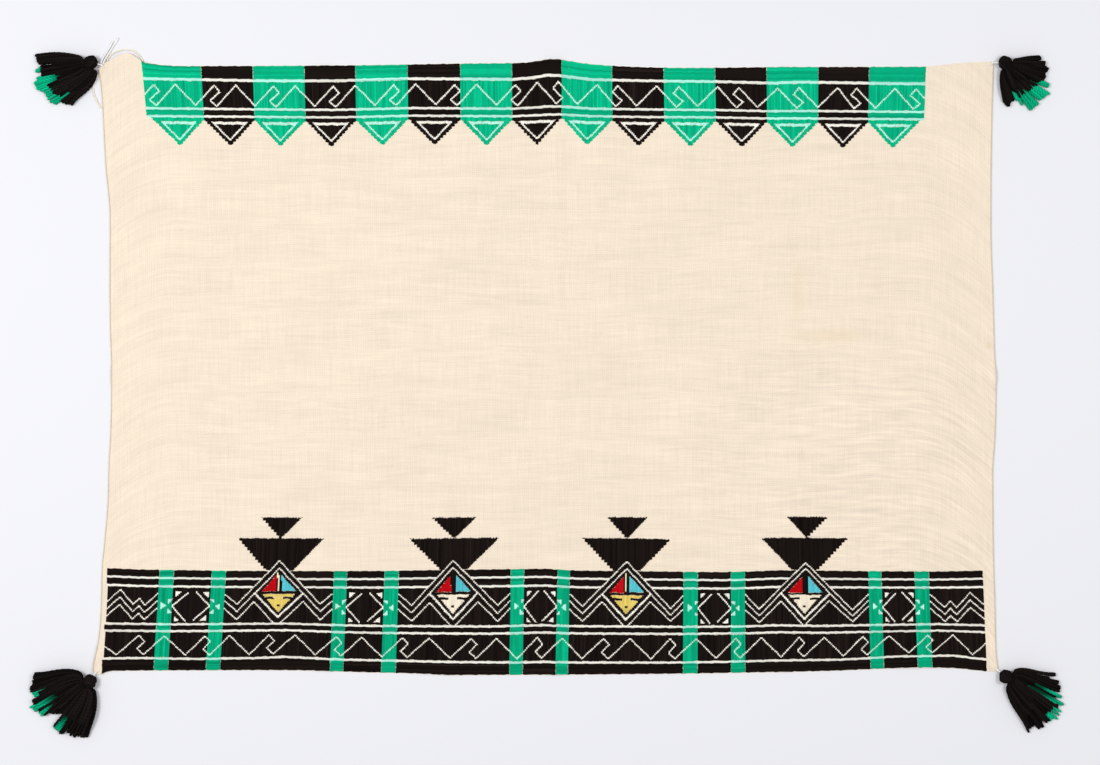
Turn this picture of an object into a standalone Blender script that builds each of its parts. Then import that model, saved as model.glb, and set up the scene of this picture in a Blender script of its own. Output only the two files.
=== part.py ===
"""Embroidered manta: a cotton shawl lying face up, with a wool tassel tied to each corner.

Metres, +Z up. +X runs along the long edges and +Y towards the narrow embroidered border.
The sheet rests on its underside at z = 0, and the origin is under the middle of the whole.
"""
import math
from collections import namedtuple

import bmesh
import bpy
import numpy as np

MM = 0.001
Fan = namedtuple("Fan", "mid half columns pitch angles drawn_in aside")

# Where the corners of the cloth lie, in mm from the middle of the whole
CORNERS = {
    "top_left": (-733.4, 544.5),
    "top_right": (733.4, 548.3),
    "bottom_left": (-744.1, -458.3),
    "bottom_right": (741.6, -453.4),
}

# Each edge as (along, out): mm along it, and mm that it stands outside the straight line
TOP_EDGE = (
    (0, 0), (12, 3), (28, 12), (44, 17), (58, 11), (72, 2), (150, -4), (400, -3.5), (590, -1),
    (690, 0), (742, 5.3), (806, -2.5), (984, -9), (1120, -8), (1352, -8), (1406, -3), (1467, 0),
)
BOTTOM_EDGE = (
    (0, 0), (14, -0.5), (24, -5.5), (180, -6.2), (322, -5.7), (445, -2), (540, 0.7), (592, 3.1),
    (822, 2.8), (950, 2), (1094, 0.2), (1208, -1.8), (1290, -5), (1356, -7.1), (1420, -5), (1464, -0.5),
    (1486, 0),
)
LEFT_EDGE = (
    (0, 0), (10, 2), (46, -4), (51, -8), (105, -10.2), (174, -10.8), (217, -14.6), (286, -19.4),
    (450, -20.7), (620, -18.9), (756, -16.6), (826, -10.8), (884, -6.7), (954, -2), (978, 0.5),
    (992, 3.1), (1003, 0),
)
RIGHT_EDGE = (
    (0, 0), (8, -1.1), (35, -3.8), (118, -5.6), (180, -7.2), (320, -7.9), (388, -3.9), (478, 0.3),
    (514, -1), (610, -3.8), (716, -6.2), (820, -5.4), (922, -3), (1002, 0),
)

# How steep a soft curve may be at a row, beside the gentler of its two sides
SLOPE_HELD = 2.5

# The woven ground, and how much thicker the wool makes the two borders, in mm
GROUND_THICK = 1.6
WOOL_THICK = 1.1
BORDER_RAMP = 6.0

# Each border as (from_y, to_y, from_x, to_x), mm
BORDERS = (
    (455.0, 541.0, -664.0, 620.0),
    (-452.0, -286.5, -722.0, 715.0),
)

# Creases left by folding, as (place, half_width, height_middle, height_start, height_end), mm
UPRIGHT_CREASES = (
    (12.3, 26, 2.8, 2.4, 6.5),
    (-365.5, 22, 1.6, 1.4, 1.8),
    (390.1, 22, 1.6, 1.2, 1.8),
)
LEVEL_CREASES = (
    (32.9, 22, 1.5, 2.2, 2.0),
)

# Soft swellings near the edges, as (x, y, radius, height), mm
SWELLINGS = (
    (-688, 552, 52, 5.0),
    (610, -440, 70, 2.6),
    (-738, -432, 44, 2.4),
    (-180, -452, 60, 1.6),
)

# Tassel strands and bundles, mm
STRAND_LAYERS = 3
STRAND_WIDE = 4.2
STRAND_TALL = 3.9
STRAND_APART = 0.9
LAYER_GAP = 0.4
RIM_REACH = 27.0
HEAD_RADIUS = 11.2
HEAD_TALL = 9.6
HEAD_RINGS_DEG = (155, 128, 98, 66)

# How far a layer shifts aside, in columns, and how high it rests once it is past the bundle
LAYER_REST = ((0.0, 0.0), (0.5, 0.0), (0.25, STRAND_TALL + LAYER_GAP))
SETTLE_FROM = 60.0
SETTLE_TO = 78.0
# Shares of a strand's length where its sections are, in the lowest layer and above it
LOW_STATIONS = (0.3, 0.62, 1.0)
UPPER_STATIONS = (0.24, 0.52, 0.78, 1.0)
# How soon a strand bends from its heading at the rim to its tip's, and how its length varies
BEND_POWER = 1.6
UNEVEN = (1.5, -2.5, 0.0)

# Sections from the neck to the rim, as (reach, half_width, half_height, centre_z, squareness)
NECK_RINGS = (
    (12.5, 6.6, 5.6, 5.8, 0.0),
    (17.0, 11.0, 5.9, 6.1, 0.22),
    (22.0, 17.5, 6.1, 6.3, 0.6),
)

# Each tassel: head (x, y) in mm, how much wider it is at the rim than at its tips on the side of the least
# and of the greatest heading, in degrees, then rows of (heading in degrees, upper reach, lower reach)
TASSELS = {
    "top_left": {
        "head": (-747.2, 547.1),
        "spread": (16, 22),
        "tips": (
            (172, 93, 80), (183, 82, 88), (192, 80, 92), (201, 73, 95), (211, 79, 97), (219, 81, 93),
            (229, 74, 92), (235, 79, 82), (241, 81, 76), (248, 73, 68),
        ),
    },
    "top_right": {
        "head": (751.0, 547.0),
        "spread": (20, 5),
        "tips": (
            (11, 59, 50), (-3, 69, 62), (-10, 73, 68), (-22, 74, 80), (-34, 66, 88), (-50, 62, 88),
            (-59, 65, 90), (-72, 66, 75), (-80, 70, 64), (-88, 70, 58),
        ),
    },
    "bottom_left": {
        "head": (-751.0, -469.0),
        "spread": (27, 18),
        "tips": (
            (171, 88, 84), (178, 92, 88), (186, 95, 92), (193, 96, 100), (205, 98, 108), (214, 95, 99),
            (224, 76, 85), (233, 92, 95), (240, 98, 96), (250, 96, 94), (260, 93, 92), (268, 92, 88),
        ),
    },
    "bottom_right": {
        "head": (752.8, -461.9),
        "spread": (18, 26),
        "tips": (
            (3, 83, 76), (-3, 86, 84), (-9, 92, 88), (-15, 93, 92), (-26, 98, 106), (-38, 97, 109),
            (-43, 100, 103), (-49, 101, 100), (-55, 104, 98), (-61, 98, 94), (-66, 99, 90),
        ),
    },
}

# Short cotton lashings between a corner of the cloth and a tassel's head, mm
TIE_RADIUS = 1.3
TIE_KNOT = 1.4
TIE_CLEAR = 0.3
TIE_RISE = 2.0
TIE_KNOT_INBOARD = 2.4
TIE_START_INBOARD = 6.5
TIE_SIDES = 8
SHARP_DEG = 50

# Loose cotton cords: radius in mm, then their routes as (x, y, z) in mm
END_RADIUS = 1.4
EDGE_RADIUS = 1.2
# A point every so many radii
CORD_STEP = 2.2
CORDS = {
    "tie_end_long": (END_RADIUS, (
        (-728.8, 543.7, 4.0), (-727.6, 547.2, 4.0), (-725.6, 551.4, 2.7), (-722.2, 557.6, 1.6),
        (-716.8, 566.2, 1.5), (-711.8, 574.4, 1.5), (-707.4, 581.4, 1.5), (-704.0, 587.0, 1.5),
    )),
    "tie_end_short": (END_RADIUS, (
        (-732.1, 544.6, 4.0), (-731.4, 548.2, 4.0), (-729.6, 552.6, 2.7), (-726.4, 558.8, 1.6),
        (-721.4, 566.6, 1.5), (-717.0, 574.2, 1.5), (-713.2, 581.8, 1.5),
    )),
    "edge_cord_top": (EDGE_RADIUS, (
        (-722.4, 548.6, 1.5), (-721.6, 551.6, 1.4), (-718.8, 555.8, 1.3), (-713.0, 561.0, 1.3),
        (-704.4, 565.4, 1.3), (-693.6, 567.9, 1.3), (-683.0, 567.0, 1.3), (-674.4, 562.6, 1.3),
        (-667.8, 555.8, 1.3), (-663.6, 549.0, 1.3),
    )),
    "edge_cord_left": (EDGE_RADIUS, (
        (-736.7, 527.8, 1.3), (-740.8, 521.0, 1.3), (-744.2, 512.6, 1.3), (-745.6, 503.6, 1.3),
        (-744.2, 495.2, 1.3), (-740.8, 486.6, 1.3), (-736.4, 478.4, 1.3), (-733.2, 471.6, 1.3),
    )),
}


def clear_scene():
    """Remove every object that the file starts with."""
    for thing in list(bpy.data.objects):
        bpy.data.objects.remove(thing, do_unlink=True)


def finish(name, colour, rough):
    """A plain material of one colour (linear RGB) and roughness."""
    material = bpy.data.materials.new(name)
    material.use_nodes = True
    shader = material.node_tree.nodes["Principled BSDF"]
    shader.inputs["Base Color"].default_value = (*colour, 1.0)
    shader.inputs["Roughness"].default_value = rough
    shader.inputs["Metallic"].default_value = 0.0
    return material


def place(thing, material):
    """Link an object to the scene with its material."""
    thing.data.materials.append(material)
    bpy.context.scene.collection.objects.link(thing)
    return thing


def mesh_object(name, points, faces, material, smooth_deg=None):
    """A closed mesh from points in mm, its faces turned outwards."""
    mesh = bpy.data.meshes.new(name)
    mesh.from_pydata([tuple(float(c) * MM for c in p) for p in points], [], faces)
    work = bmesh.new()
    work.from_mesh(mesh)
    bmesh.ops.recalc_face_normals(work, faces=work.faces)
    bmesh.ops.triangulate(work, faces=work.faces)
    work.to_mesh(mesh)
    work.free()
    if smooth_deg is not None:
        mesh.shade_smooth()
        mesh.set_sharp_from_angle(angle=math.radians(smooth_deg))
    return place(bpy.data.objects.new(name, mesh), material)


def smooth_curve(rows, at):
    """Values on a soft curve through (place, value) rows: cubic pieces that share their slopes.

    No slope is steeper than SLOPE_HELD times its gentler side, so the curve overshoots no row.
    """
    table = np.array(rows, float)
    place_at, value = table[:, 0], table[:, 1]
    side = np.diff(value) / np.diff(place_at)
    before, after = np.append(side[0], side), np.append(side, side[-1])
    most = np.where(before * after > 0, SLOPE_HELD * np.minimum(abs(before), abs(after)), 0.0)
    slope = np.clip(np.gradient(value, place_at), -most, most)
    at = np.clip(np.asarray(at, float), place_at[0], place_at[-1])
    k = np.clip(np.searchsorted(place_at, at, side="right") - 1, 0, len(place_at) - 2)
    span = place_at[k + 1] - place_at[k]
    t = (at - place_at[k]) / span
    return ((2 * t**3 - 3 * t**2 + 1) * value[k] + (t**3 - 2 * t**2 + t) * span * slope[k]
            + (3 * t**2 - 2 * t**3) * value[k + 1] + (t**3 - t**2) * span * slope[k + 1])


def edge_points(start, end, rows, share, outward):
    """Points of one edge: the straight line between two corners, moved out by its table."""
    start, end = np.array(start), np.array(end)
    out = smooth_curve(rows, share * rows[-1][0])
    return start + share[:, None] * (end - start) + out[:, None] * np.array(outward)


def lines_for(tables, creases, total, least):
    """Where the grid has its lines: at the tables' rows and over each crease, as shares of total."""
    wanted = [0.0, total]
    for middle, half in creases:
        wanted += [middle + half * step for step in (-1.0, -0.5, 0.0, 0.5, 1.0)]
    for rows in tables:
        wanted += [place_at * total / rows[-1][0] for place_at, _ in rows]
    kept = []
    for place_at in wanted:
        if 0 <= place_at <= total and all(abs(place_at - other) >= least for other in kept):
            kept.append(place_at)
    return np.array(sorted(kept)) / total


def bump(distance, half):
    """1 in the middle, falling softly to exactly 0 at the half width."""
    t = np.clip(np.abs(distance) / half, 0.0, 1.0)
    return (1 - t**2) ** 2


def lift(x, y):
    """How far the underside stands off the surface: creases and swellings, nothing between."""
    height = np.zeros_like(x)
    for middle, half, amid, start, end in UPRIGHT_CREASES:
        along = smooth_curve(((-470, start), (0, amid), (380, amid), (560, end)), y)
        height = np.maximum(height, along * bump(x - middle, half))
    for middle, half, amid, start, end in LEVEL_CREASES:
        along = smooth_curve(((-750, start), (-500, amid), (500, amid), (750, end)), x)
        height = np.maximum(height, along * bump(y - middle, half))
    for at_x, at_y, radius, rise in SWELLINGS:
        height = np.maximum(height, rise * bump(np.hypot(x - at_x, y - at_y), radius))
    return height


def ramp(value, low, high):
    """1 between low and high, falling to 0 over the border's ramp outside them."""
    rise = np.clip((value - low) / BORDER_RAMP + 1, 0, 1)
    fall = np.clip((high - value) / BORDER_RAMP + 1, 0, 1)
    return rise * fall


def thickness(x, y):
    """The ground, with the wool of the borders on it."""
    wool = np.zeros_like(x)
    for low_y, high_y, low_x, high_x in BORDERS:
        wool = np.maximum(wool, ramp(y, low_y, high_y) * ramp(x, low_x, high_x))
    return GROUND_THICK + WOOL_THICK * wool


def make_cloth(material):
    """One sheet: its four edges blended over a grid, with creases and thicker borders."""
    width = TOP_EDGE[-1][0]
    height = LEFT_EDGE[-1][0]
    left = CORNERS["top_left"][0]
    low = CORNERS["bottom_left"][1]
    upright = [(middle - left, half) for middle, half, *_ in UPRIGHT_CREASES]
    level = [(middle - low, half) for middle, half, *_ in LEVEL_CREASES]
    ends = [(edge - left, 0) for _, _, low_x, high_x in BORDERS for edge in (low_x, high_x)]
    sills = [(edge - low, BORDER_RAMP) for low_y, high_y, *_ in BORDERS for edge in (low_y, high_y)]
    u = lines_for((TOP_EDGE, BOTTOM_EDGE), upright + ends, width, 9.0)
    v = lines_for((LEFT_EDGE, RIGHT_EDGE), level + sills, height, 5.9)

    top = edge_points(CORNERS["top_left"], CORNERS["top_right"], TOP_EDGE, u, (0, 1))
    bottom = edge_points(CORNERS["bottom_left"], CORNERS["bottom_right"], BOTTOM_EDGE, u, (0, -1))
    left_edge = edge_points(CORNERS["bottom_left"], CORNERS["top_left"], LEFT_EDGE, v, (-1, 0))
    right_edge = edge_points(CORNERS["bottom_right"], CORNERS["top_right"], RIGHT_EDGE, v, (1, 0))
    uu, vv = u[None, :, None], v[:, None, None]
    flat = ((1 - vv) * bottom[None] + vv * top[None]
            + (1 - uu) * left_edge[:, None] + uu * right_edge[:, None]
            - (1 - uu) * (1 - vv) * bottom[0] - uu * (1 - vv) * bottom[-1]
            - (1 - uu) * vv * top[0] - uu * vv * top[-1])
    x, y = flat[..., 0], flat[..., 1]
    under = lift(x, y)
    over = under + thickness(x, y)

    rows, columns = x.shape
    count = rows * columns
    points = np.concatenate([
        np.stack([x, y, over], -1).reshape(-1, 3),
        np.stack([x, y, under], -1).reshape(-1, 3),
    ])
    index = np.arange(count).reshape(rows, columns)
    cells = np.stack([index[:-1, :-1], index[:-1, 1:], index[1:, 1:], index[1:, :-1]], -1).reshape(-1, 4)
    rim = np.concatenate([index[0, :-1], index[:-1, -1], index[-1, :0:-1], index[:0:-1, 0]])
    following = np.roll(rim, -1)
    walls = np.stack([rim, rim + count, following + count, following], -1)
    faces = np.concatenate([cells, cells[:, ::-1] + count, walls])
    return mesh_object("cloth", points, faces.tolist(), material)


def measure_fan(tips, spread):
    """The rim's middle heading, half angle and strands' sides, and how the tips draw in and aside."""
    headings = [row[0] for row in tips]
    low, high = math.radians(min(headings)), math.radians(max(headings))
    rim_low, rim_high = low - math.radians(spread[0]), high + math.radians(spread[1])
    mid, half = (rim_low + rim_high) / 2, (rim_high - rim_low) / 2
    strand = STRAND_WIDE / RIM_REACH
    columns = int(2 * half / (strand + STRAND_APART / RIM_REACH))
    pitch = (2 * half - strand) / (columns - 1)
    angles = [-half + k * pitch + side for k in range(columns) for side in (0, strand)]
    return Fan(mid, half, columns, pitch, angles, (high - low) / 2 / half, (low + high) / 2 - mid)


def level_heights():
    """Heights of the strands' undersides and tops at the rim, in mm."""
    step = STRAND_TALL + LAYER_GAP
    return [z for k in range(STRAND_LAYERS) for z in (k * step, k * step + STRAND_TALL)]


def ring_order(fan):
    """The rim's grid corners once round, as (side, level), from the lower left."""
    wide, tall = 2 * fan.columns - 1, 2 * STRAND_LAYERS - 1
    order = [(i, 0) for i in range(wide)]
    order += [(wide, j) for j in range(tall)]
    order += [(i, tall) for i in range(wide, 0, -1)]
    order += [(0, j) for j in range(tall, 0, -1)]
    return order


def polar(out, turn, z):
    """A point by its distance from the head's middle, heading and height."""
    return np.array([out * math.cos(turn), out * math.sin(turn), z])


def bundle_rings(fan):
    """Rings over the head and the neck that open towards the rim, which isn't among them."""
    heights = level_heights()
    middle = heights[-1] / 2
    rim = np.array([polar(RIM_REACH, fan.angles[i], heights[j]) for i, j in ring_order(fan)])
    turn = np.arctan2((rim[:, 2] - middle) / middle, rim[:, 1] / abs(rim[:, 1]).max())
    sections = [(HEAD_RADIUS * math.cos(a), HEAD_RADIUS * math.sin(a), HEAD_TALL * math.sin(a), HEAD_TALL, 0.0)
                for a in np.radians(HEAD_RINGS_DEG)]
    rings = []
    for reach, wide, tall, centre, share in sections + list(NECK_RINGS):
        rounded = np.stack([np.full(len(turn), reach), wide * np.cos(turn), centre + tall * np.sin(turn)], -1)
        squared = rim * np.array([reach / RIM_REACH, reach / RIM_REACH, 1.0])
        rings.append((1 - share) * rounded + share * squared)
    return rings


def strand_path(fan, tips, layer, column):
    """Stations of one strand: it leaves the rim, bends to its tip's heading, and settles."""
    angle = (fan.angles[2 * column] + fan.angles[2 * column + 1]) / 2
    start_z = layer * (STRAND_TALL + LAYER_GAP)
    shift, end_z = LAYER_REST[layer]
    heading = math.degrees(fan.mid + fan.aside + (angle + shift * fan.pitch) * fan.drawn_in)
    rows = sorted(tips)
    upper = layer == STRAND_LAYERS - 1
    reach = float(np.interp(heading, [row[0] for row in rows], [row[1 if upper else 2] for row in rows]))
    reach += UNEVEN[(column + layer) % len(UNEVEN)]
    path = []
    for t in UPPER_STATIONS if layer else LOW_STATIONS:
        out = RIM_REACH + (reach - RIM_REACH) * t
        kept = (1 - t) ** BEND_POWER
        bend = fan.drawn_in + (1 - fan.drawn_in) * kept
        shifted = smooth_step(out, RIM_REACH, SETTLE_FROM) * shift * fan.pitch
        z = start_z + (end_z - start_z) * smooth_step(out, SETTLE_FROM, SETTLE_TO)
        path.append((out, (angle + shifted) * bend + fan.aside * (1 - kept), z))
    return path


def smooth_step(value, low, high):
    t = min(max((value - low) / (high - low), 0.0), 1.0)
    return t * t * (3 - 2 * t)


def make_tassel(name, head, spread, tips, material):
    """A head, neck and bundle in one skin, with the strands drawn out of the bundle's rim."""
    fan = measure_fan(tips, spread)
    heights = level_heights()
    wide, tall = 2 * fan.columns, 2 * STRAND_LAYERS
    rings = bundle_rings(fan)
    size = len(rings[0])
    points = [np.array([-HEAD_RADIUS, 0.0, HEAD_TALL])]
    for ring in rings:
        points.extend(ring)
    grid = {}
    for i in range(wide):
        for j in range(tall):
            grid[(i, j)] = len(points)
            points.append(polar(RIM_REACH, fan.angles[i], heights[j]))

    loops = [[1 + k * size + n for n in range(size)] for k in range(len(rings))]
    loops.append([grid[cell] for cell in ring_order(fan)])
    faces = [(0, loops[0][(k + 1) % size], loops[0][k]) for k in range(size)]
    for inner, outer in zip(loops, loops[1:]):
        for k in range(size):
            after = (k + 1) % size
            faces.append((inner[k], inner[after], outer[after], outer[k]))

    for i in range(wide - 1):
        for j in range(tall - 1):
            corner = [grid[(i, j)], grid[(i + 1, j)], grid[(i + 1, j + 1)], grid[(i, j + 1)]]
            if i % 2 or j % 2:
                faces.append(tuple(corner))
                continue
            for out, turn, z in strand_path(fan, tips, j // 2, i // 2):
                side = STRAND_WIDE / 2 / out
                section = ((turn - side, z), (turn + side, z),
                           (turn + side, z + STRAND_TALL), (turn - side, z + STRAND_TALL))
                new = list(range(len(points), len(points) + 4))
                points.extend(polar(out, a, h) for a, h in section)
                faces += [(corner[k], corner[(k + 1) % 4], new[(k + 1) % 4], new[k]) for k in range(4)]
                corner = new
            faces.append(tuple(corner))

    turned = [(head[0] + along * math.cos(fan.mid) - across * math.sin(fan.mid),
               head[1] + along * math.sin(fan.mid) + across * math.cos(fan.mid), z)
              for along, across, z in points]
    return mesh_object(f"tassel_{name}", turned, faces, material, smooth_deg=SHARP_DEG)


def tube(name, route, radii, material, sides=TIE_SIDES):
    """A closed tube of changing radius along a route, with flat ends."""
    route = np.array(route, float)
    along = np.gradient(route, axis=0)
    along /= np.linalg.norm(along, axis=1)[:, None]
    side = np.cross(along, (0, 0, 1))
    side /= np.linalg.norm(side, axis=1)[:, None]
    up = np.cross(side, along)
    turn = np.arange(sides) * math.tau / sides
    points = (route[:, None] + np.array(radii)[:, None, None]
              * (side[:, None] * np.cos(turn)[None, :, None] + up[:, None] * np.sin(turn)[None, :, None]))
    points = points.reshape(-1, 3)
    faces = [tuple(range(sides)), tuple(range(len(points) - sides, len(points)))]
    for ring in range(len(route) - 1):
        for k in range(sides):
            after = (k + 1) % sides
            faces.append((ring * sides + k, ring * sides + after,
                          (ring + 1) * sides + after, (ring + 1) * sides + k))
    return mesh_object(name, points, faces, material, smooth_deg=SHARP_DEG)


def make_tie(corner, material):
    """A lashing that lies on the corner of the cloth, has a small knot and ends at the head."""
    head = np.array([*TASSELS[corner]["head"], HEAD_TALL])
    edge = np.array(CORNERS[corner], float)
    inward = (-np.sign(edge[0]), -np.sign(edge[1]))
    knot = np.array([*(edge + np.multiply(inward, TIE_KNOT_INBOARD)), 0.0])
    start = np.array([*(edge + np.multiply(inward, TIE_START_INBOARD)), 0.0])
    for point, radius in ((knot, TIE_RADIUS * TIE_KNOT), (start, TIE_RADIUS)):
        under = float(lift(point[:1], point[1:2])[0])
        point[2] = under + float(thickness(point[:1], point[1:2])[0]) + TIE_CLEAR + radius
    toward = knot + np.array([0, 0, TIE_RISE]) - head
    toward /= np.linalg.norm(toward)
    skin = 1 / math.sqrt((toward[0]**2 + toward[1]**2) / HEAD_RADIUS**2 + toward[2]**2 / HEAD_TALL**2)
    end = head + toward * (skin + TIE_CLEAR)
    before = head + toward * (skin + TIE_CLEAR + TIE_RADIUS)
    route = [start, (start + knot) / 2, knot, before, end]
    radii = [TIE_RADIUS * k for k in (1.0, 1.0, TIE_KNOT, 1.0, 1.0)]
    return tube(f"tie_{corner}", route, radii, material)


def make_cord(name, radius, route, material):
    """A loose cord: a curve object whose points are read from a soft curve through its route."""
    route = np.array(route, float)
    passed = np.concatenate([[0], np.cumsum(np.linalg.norm(np.diff(route, axis=0), axis=1))])
    count = int(round(passed[-1] / (CORD_STEP * radius))) + 1
    at = np.linspace(0, passed[-1], count)
    smooth = np.stack([smooth_curve(np.stack([passed, route[:, k]], -1), at) for k in range(3)], -1)
    curve = bpy.data.curves.new(name, "CURVE")
    curve.dimensions = "3D"
    curve.bevel_depth = radius * MM
    curve.bevel_resolution = 2
    curve.use_fill_caps = True
    spline = curve.splines.new("POLY")
    spline.points.add(count - 1)
    for point, spot in zip(spline.points, smooth):
        point.co = (*(float(c) * MM for c in spot), 1.0)
    return place(bpy.data.objects.new(name, curve), material)


def stand_on_origin(pieces):
    """Move every piece alike, so that the origin is under the middle of the cloth and tassels."""
    bpy.context.view_layer.update()
    corners = [piece.matrix_world @ point.co for piece in pieces for point in piece.data.vertices]
    spots = np.array(corners)
    low, high = spots.min(axis=0), spots.max(axis=0)
    shift = np.array([-(low[0] + high[0]) / 2, -(low[1] + high[1]) / 2, -low[2]])
    for thing in bpy.data.objects:
        if thing.type == "MESH":
            for point in thing.data.vertices:
                point.co = point.co + type(point.co)(shift)
        else:
            for point in thing.data.splines[0].points:
                point.co = (point.co[0] + shift[0], point.co[1] + shift[1], point.co[2] + shift[2], 1.0)
    print("shift of the origin, mm:", [round(float(s) / MM, 3) for s in shift])


def main():
    clear_scene()
    cotton = finish("cotton_ground", (0.90, 0.80, 0.66), 0.9)
    wool = finish("black_wool", (0.016, 0.011, 0.010), 0.95)
    cord = finish("cotton_cord", (0.88, 0.84, 0.74), 0.9)
    solids = [make_cloth(cotton)]
    for corner, tassel in TASSELS.items():
        solids.append(make_tassel(corner, tassel["head"], tassel["spread"], tassel["tips"], wool))
        solids.append(make_tie(corner, cord))
    for name, (radius, route) in CORDS.items():
        make_cord(name, radius, route, cord)
    stand_on_origin(solids)


main()
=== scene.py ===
# %% [markdown]
# # An embroidered manta
# A manta is a rectangle of hand-woven cotton, worn as a shawl or a dress. Wool is embroidered along both
# long edges, and a wool tassel is tied to each corner. The solids are already there, with every piece in its
# place. This lesson gives each of them its finish. Sizes are in millimetres, as a weaver would measure them,
# and they are turned into metres when a mesh is made.
#
# Many numbers in the tables of the side edges and of the two borders weren't set by hand. Scripts scanned a
# photograph of one cloth for its lines and edges, and the tables were copied from what they printed, or
# fitted to it. They are that one cloth's places, and not a chart of the pattern.

# %% Load the frame
import math

import bpy
import numpy as np
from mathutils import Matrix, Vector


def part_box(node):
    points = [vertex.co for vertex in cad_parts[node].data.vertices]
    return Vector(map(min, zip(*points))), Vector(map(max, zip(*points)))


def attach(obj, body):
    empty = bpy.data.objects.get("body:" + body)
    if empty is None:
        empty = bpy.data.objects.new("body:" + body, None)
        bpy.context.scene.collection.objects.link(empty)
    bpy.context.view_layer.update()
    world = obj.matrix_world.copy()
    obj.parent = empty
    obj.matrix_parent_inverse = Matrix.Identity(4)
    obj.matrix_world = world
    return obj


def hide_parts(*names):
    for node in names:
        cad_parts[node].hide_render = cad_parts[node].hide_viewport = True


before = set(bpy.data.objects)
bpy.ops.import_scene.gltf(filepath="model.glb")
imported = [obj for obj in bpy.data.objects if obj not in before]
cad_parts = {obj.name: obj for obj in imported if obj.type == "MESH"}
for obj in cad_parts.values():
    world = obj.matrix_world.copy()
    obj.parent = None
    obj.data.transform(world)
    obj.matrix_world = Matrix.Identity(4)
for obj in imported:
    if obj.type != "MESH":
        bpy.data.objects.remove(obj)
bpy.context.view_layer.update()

MM = 0.001

# %% [markdown]
# ## The outline of the cloth
# Hand-woven cloth is never quite square. Its four edges are drawn here as they lie: each is a straight line
# between two corners, moved in and out by a short table, with a soft curve through the rows. The same curve
# later shapes the creases, so it is the first helper.

# %% Corners and edges, in mm
CORNERS = {
    "top_left": (-733.4, 544.5),
    "top_right": (733.4, 548.3),
    "bottom_left": (-744.1, -458.3),
    "bottom_right": (741.6, -453.4),
}

# Each edge as (along, out)
TOP_EDGE = (
    (0, 0), (12, 3), (28, 12), (44, 17), (58, 11), (72, 2), (150, -4), (400, -3.5), (590, -1),
    (690, 0), (742, 5.3), (806, -2.5), (984, -9), (1120, -8), (1352, -8), (1406, -3), (1467, 0),
)
BOTTOM_EDGE = (
    (0, 0), (14, -0.5), (24, -5.5), (180, -6.2), (322, -5.7), (445, -2), (540, 0.7), (592, 3.1),
    (822, 2.8), (950, 2), (1094, 0.2), (1208, -1.8), (1290, -5), (1356, -7.1), (1420, -5), (1464, -0.5),
    (1486, 0),
)
LEFT_EDGE = (
    (0, 0), (10, 1.6), (30, -1.6), (51, -5.6), (76, -8.2), (105, -10.0), (174, -10.8), (217, -14.6),
    (286, -19.4), (342, -20.3), (400, -22.6), (450, -23.2), (500, -23.0), (560, -20.4), (620, -18.9),
    (762, -17.4), (790, -15.0), (826, -10.8), (884, -6.7), (954, -2), (978, 0.5), (992, 3.1), (1003, 0),
)
RIGHT_EDGE = (
    (0, 0), (8, -1.1), (35, -3.8), (118, -5.0), (180, -6.5), (320, -7.0), (388, -2.6), (478, 0.0),
    (514, -1.6), (610, -3.8), (716, -6.2), (820, -5.4), (922, -3), (1002, 0),
)


SLOPE_HELD = 2.5


def smooth_curve(rows, at):
    """A soft curve through (place, value) rows: cubic pieces that share the slope at each row.

    A slope is held to a few times the gentler of its two sides, so that the curve overshoots no row."""
    table = np.array(rows, float)
    place, value = table[:, 0], table[:, 1]
    side = np.diff(value) / np.diff(place)
    before, after = np.append(side[0], side), np.append(side, side[-1])
    most = np.where(before * after > 0, SLOPE_HELD * np.minimum(abs(before), abs(after)), 0.0)
    slope = np.clip(np.gradient(value, place), -most, most)
    at = np.clip(np.asarray(at, float), place[0], place[-1])
    k = np.clip(np.searchsorted(place, at, side="right") - 1, 0, len(place) - 2)
    span = place[k + 1] - place[k]
    t = (at - place[k]) / span
    return ((2 * t**3 - 3 * t**2 + 1) * value[k] + (t**3 - 2 * t**2 + t) * span * slope[k]
            + (3 * t**2 - 2 * t**3) * value[k + 1] + (t**3 - t**2) * span * slope[k + 1])


def edge_points(start, end, rows, share, outward):
    """One edge: the straight line from start to end at each share of it, moved out by its table."""
    start, end = np.array(start), np.array(end)
    out = smooth_curve(rows, share * rows[-1][0])
    return start + share[:, None] * (end - start) + out[:, None] * np.array(outward)


EDGES = {
    "top": ("top_left", "top_right", TOP_EDGE, (0, 1)),
    "bottom": ("bottom_left", "bottom_right", BOTTOM_EDGE, (0, -1)),
    "left": ("bottom_left", "top_left", LEFT_EDGE, (-1, 0)),
    "right": ("bottom_right", "top_right", RIGHT_EDGE, (1, 0)),
}


def edge(name, share=None):
    """Points of a named edge at shares of its length, or at its table's own rows."""
    start, end, rows, outward = EDGES[name]
    if share is None:
        share = np.array([row[0] for row in rows]) / rows[-1][0]
    return edge_points(CORNERS[start], CORNERS[end], rows, share, outward)


lowest = np.min([edge(name).min(axis=0) for name in EDGES], axis=0)
SHIFT = np.append(np.array(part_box("cloth")[0][:2]) / MM - lowest, 0.0)
print("the tables' zero lies here in the frame, mm:", SHIFT.round(2))

# %% [markdown]
# ## The camera
# The cloth lies face up and is seen from straight above. A long lens keeps it free of perspective, and its
# height is worked out from the width that the view takes in.

# %% Camera
VIEW_WIDE = 1806.9
VIEW_MIDDLE = (4.6, 21.2)
LENS = 70.0

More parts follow.
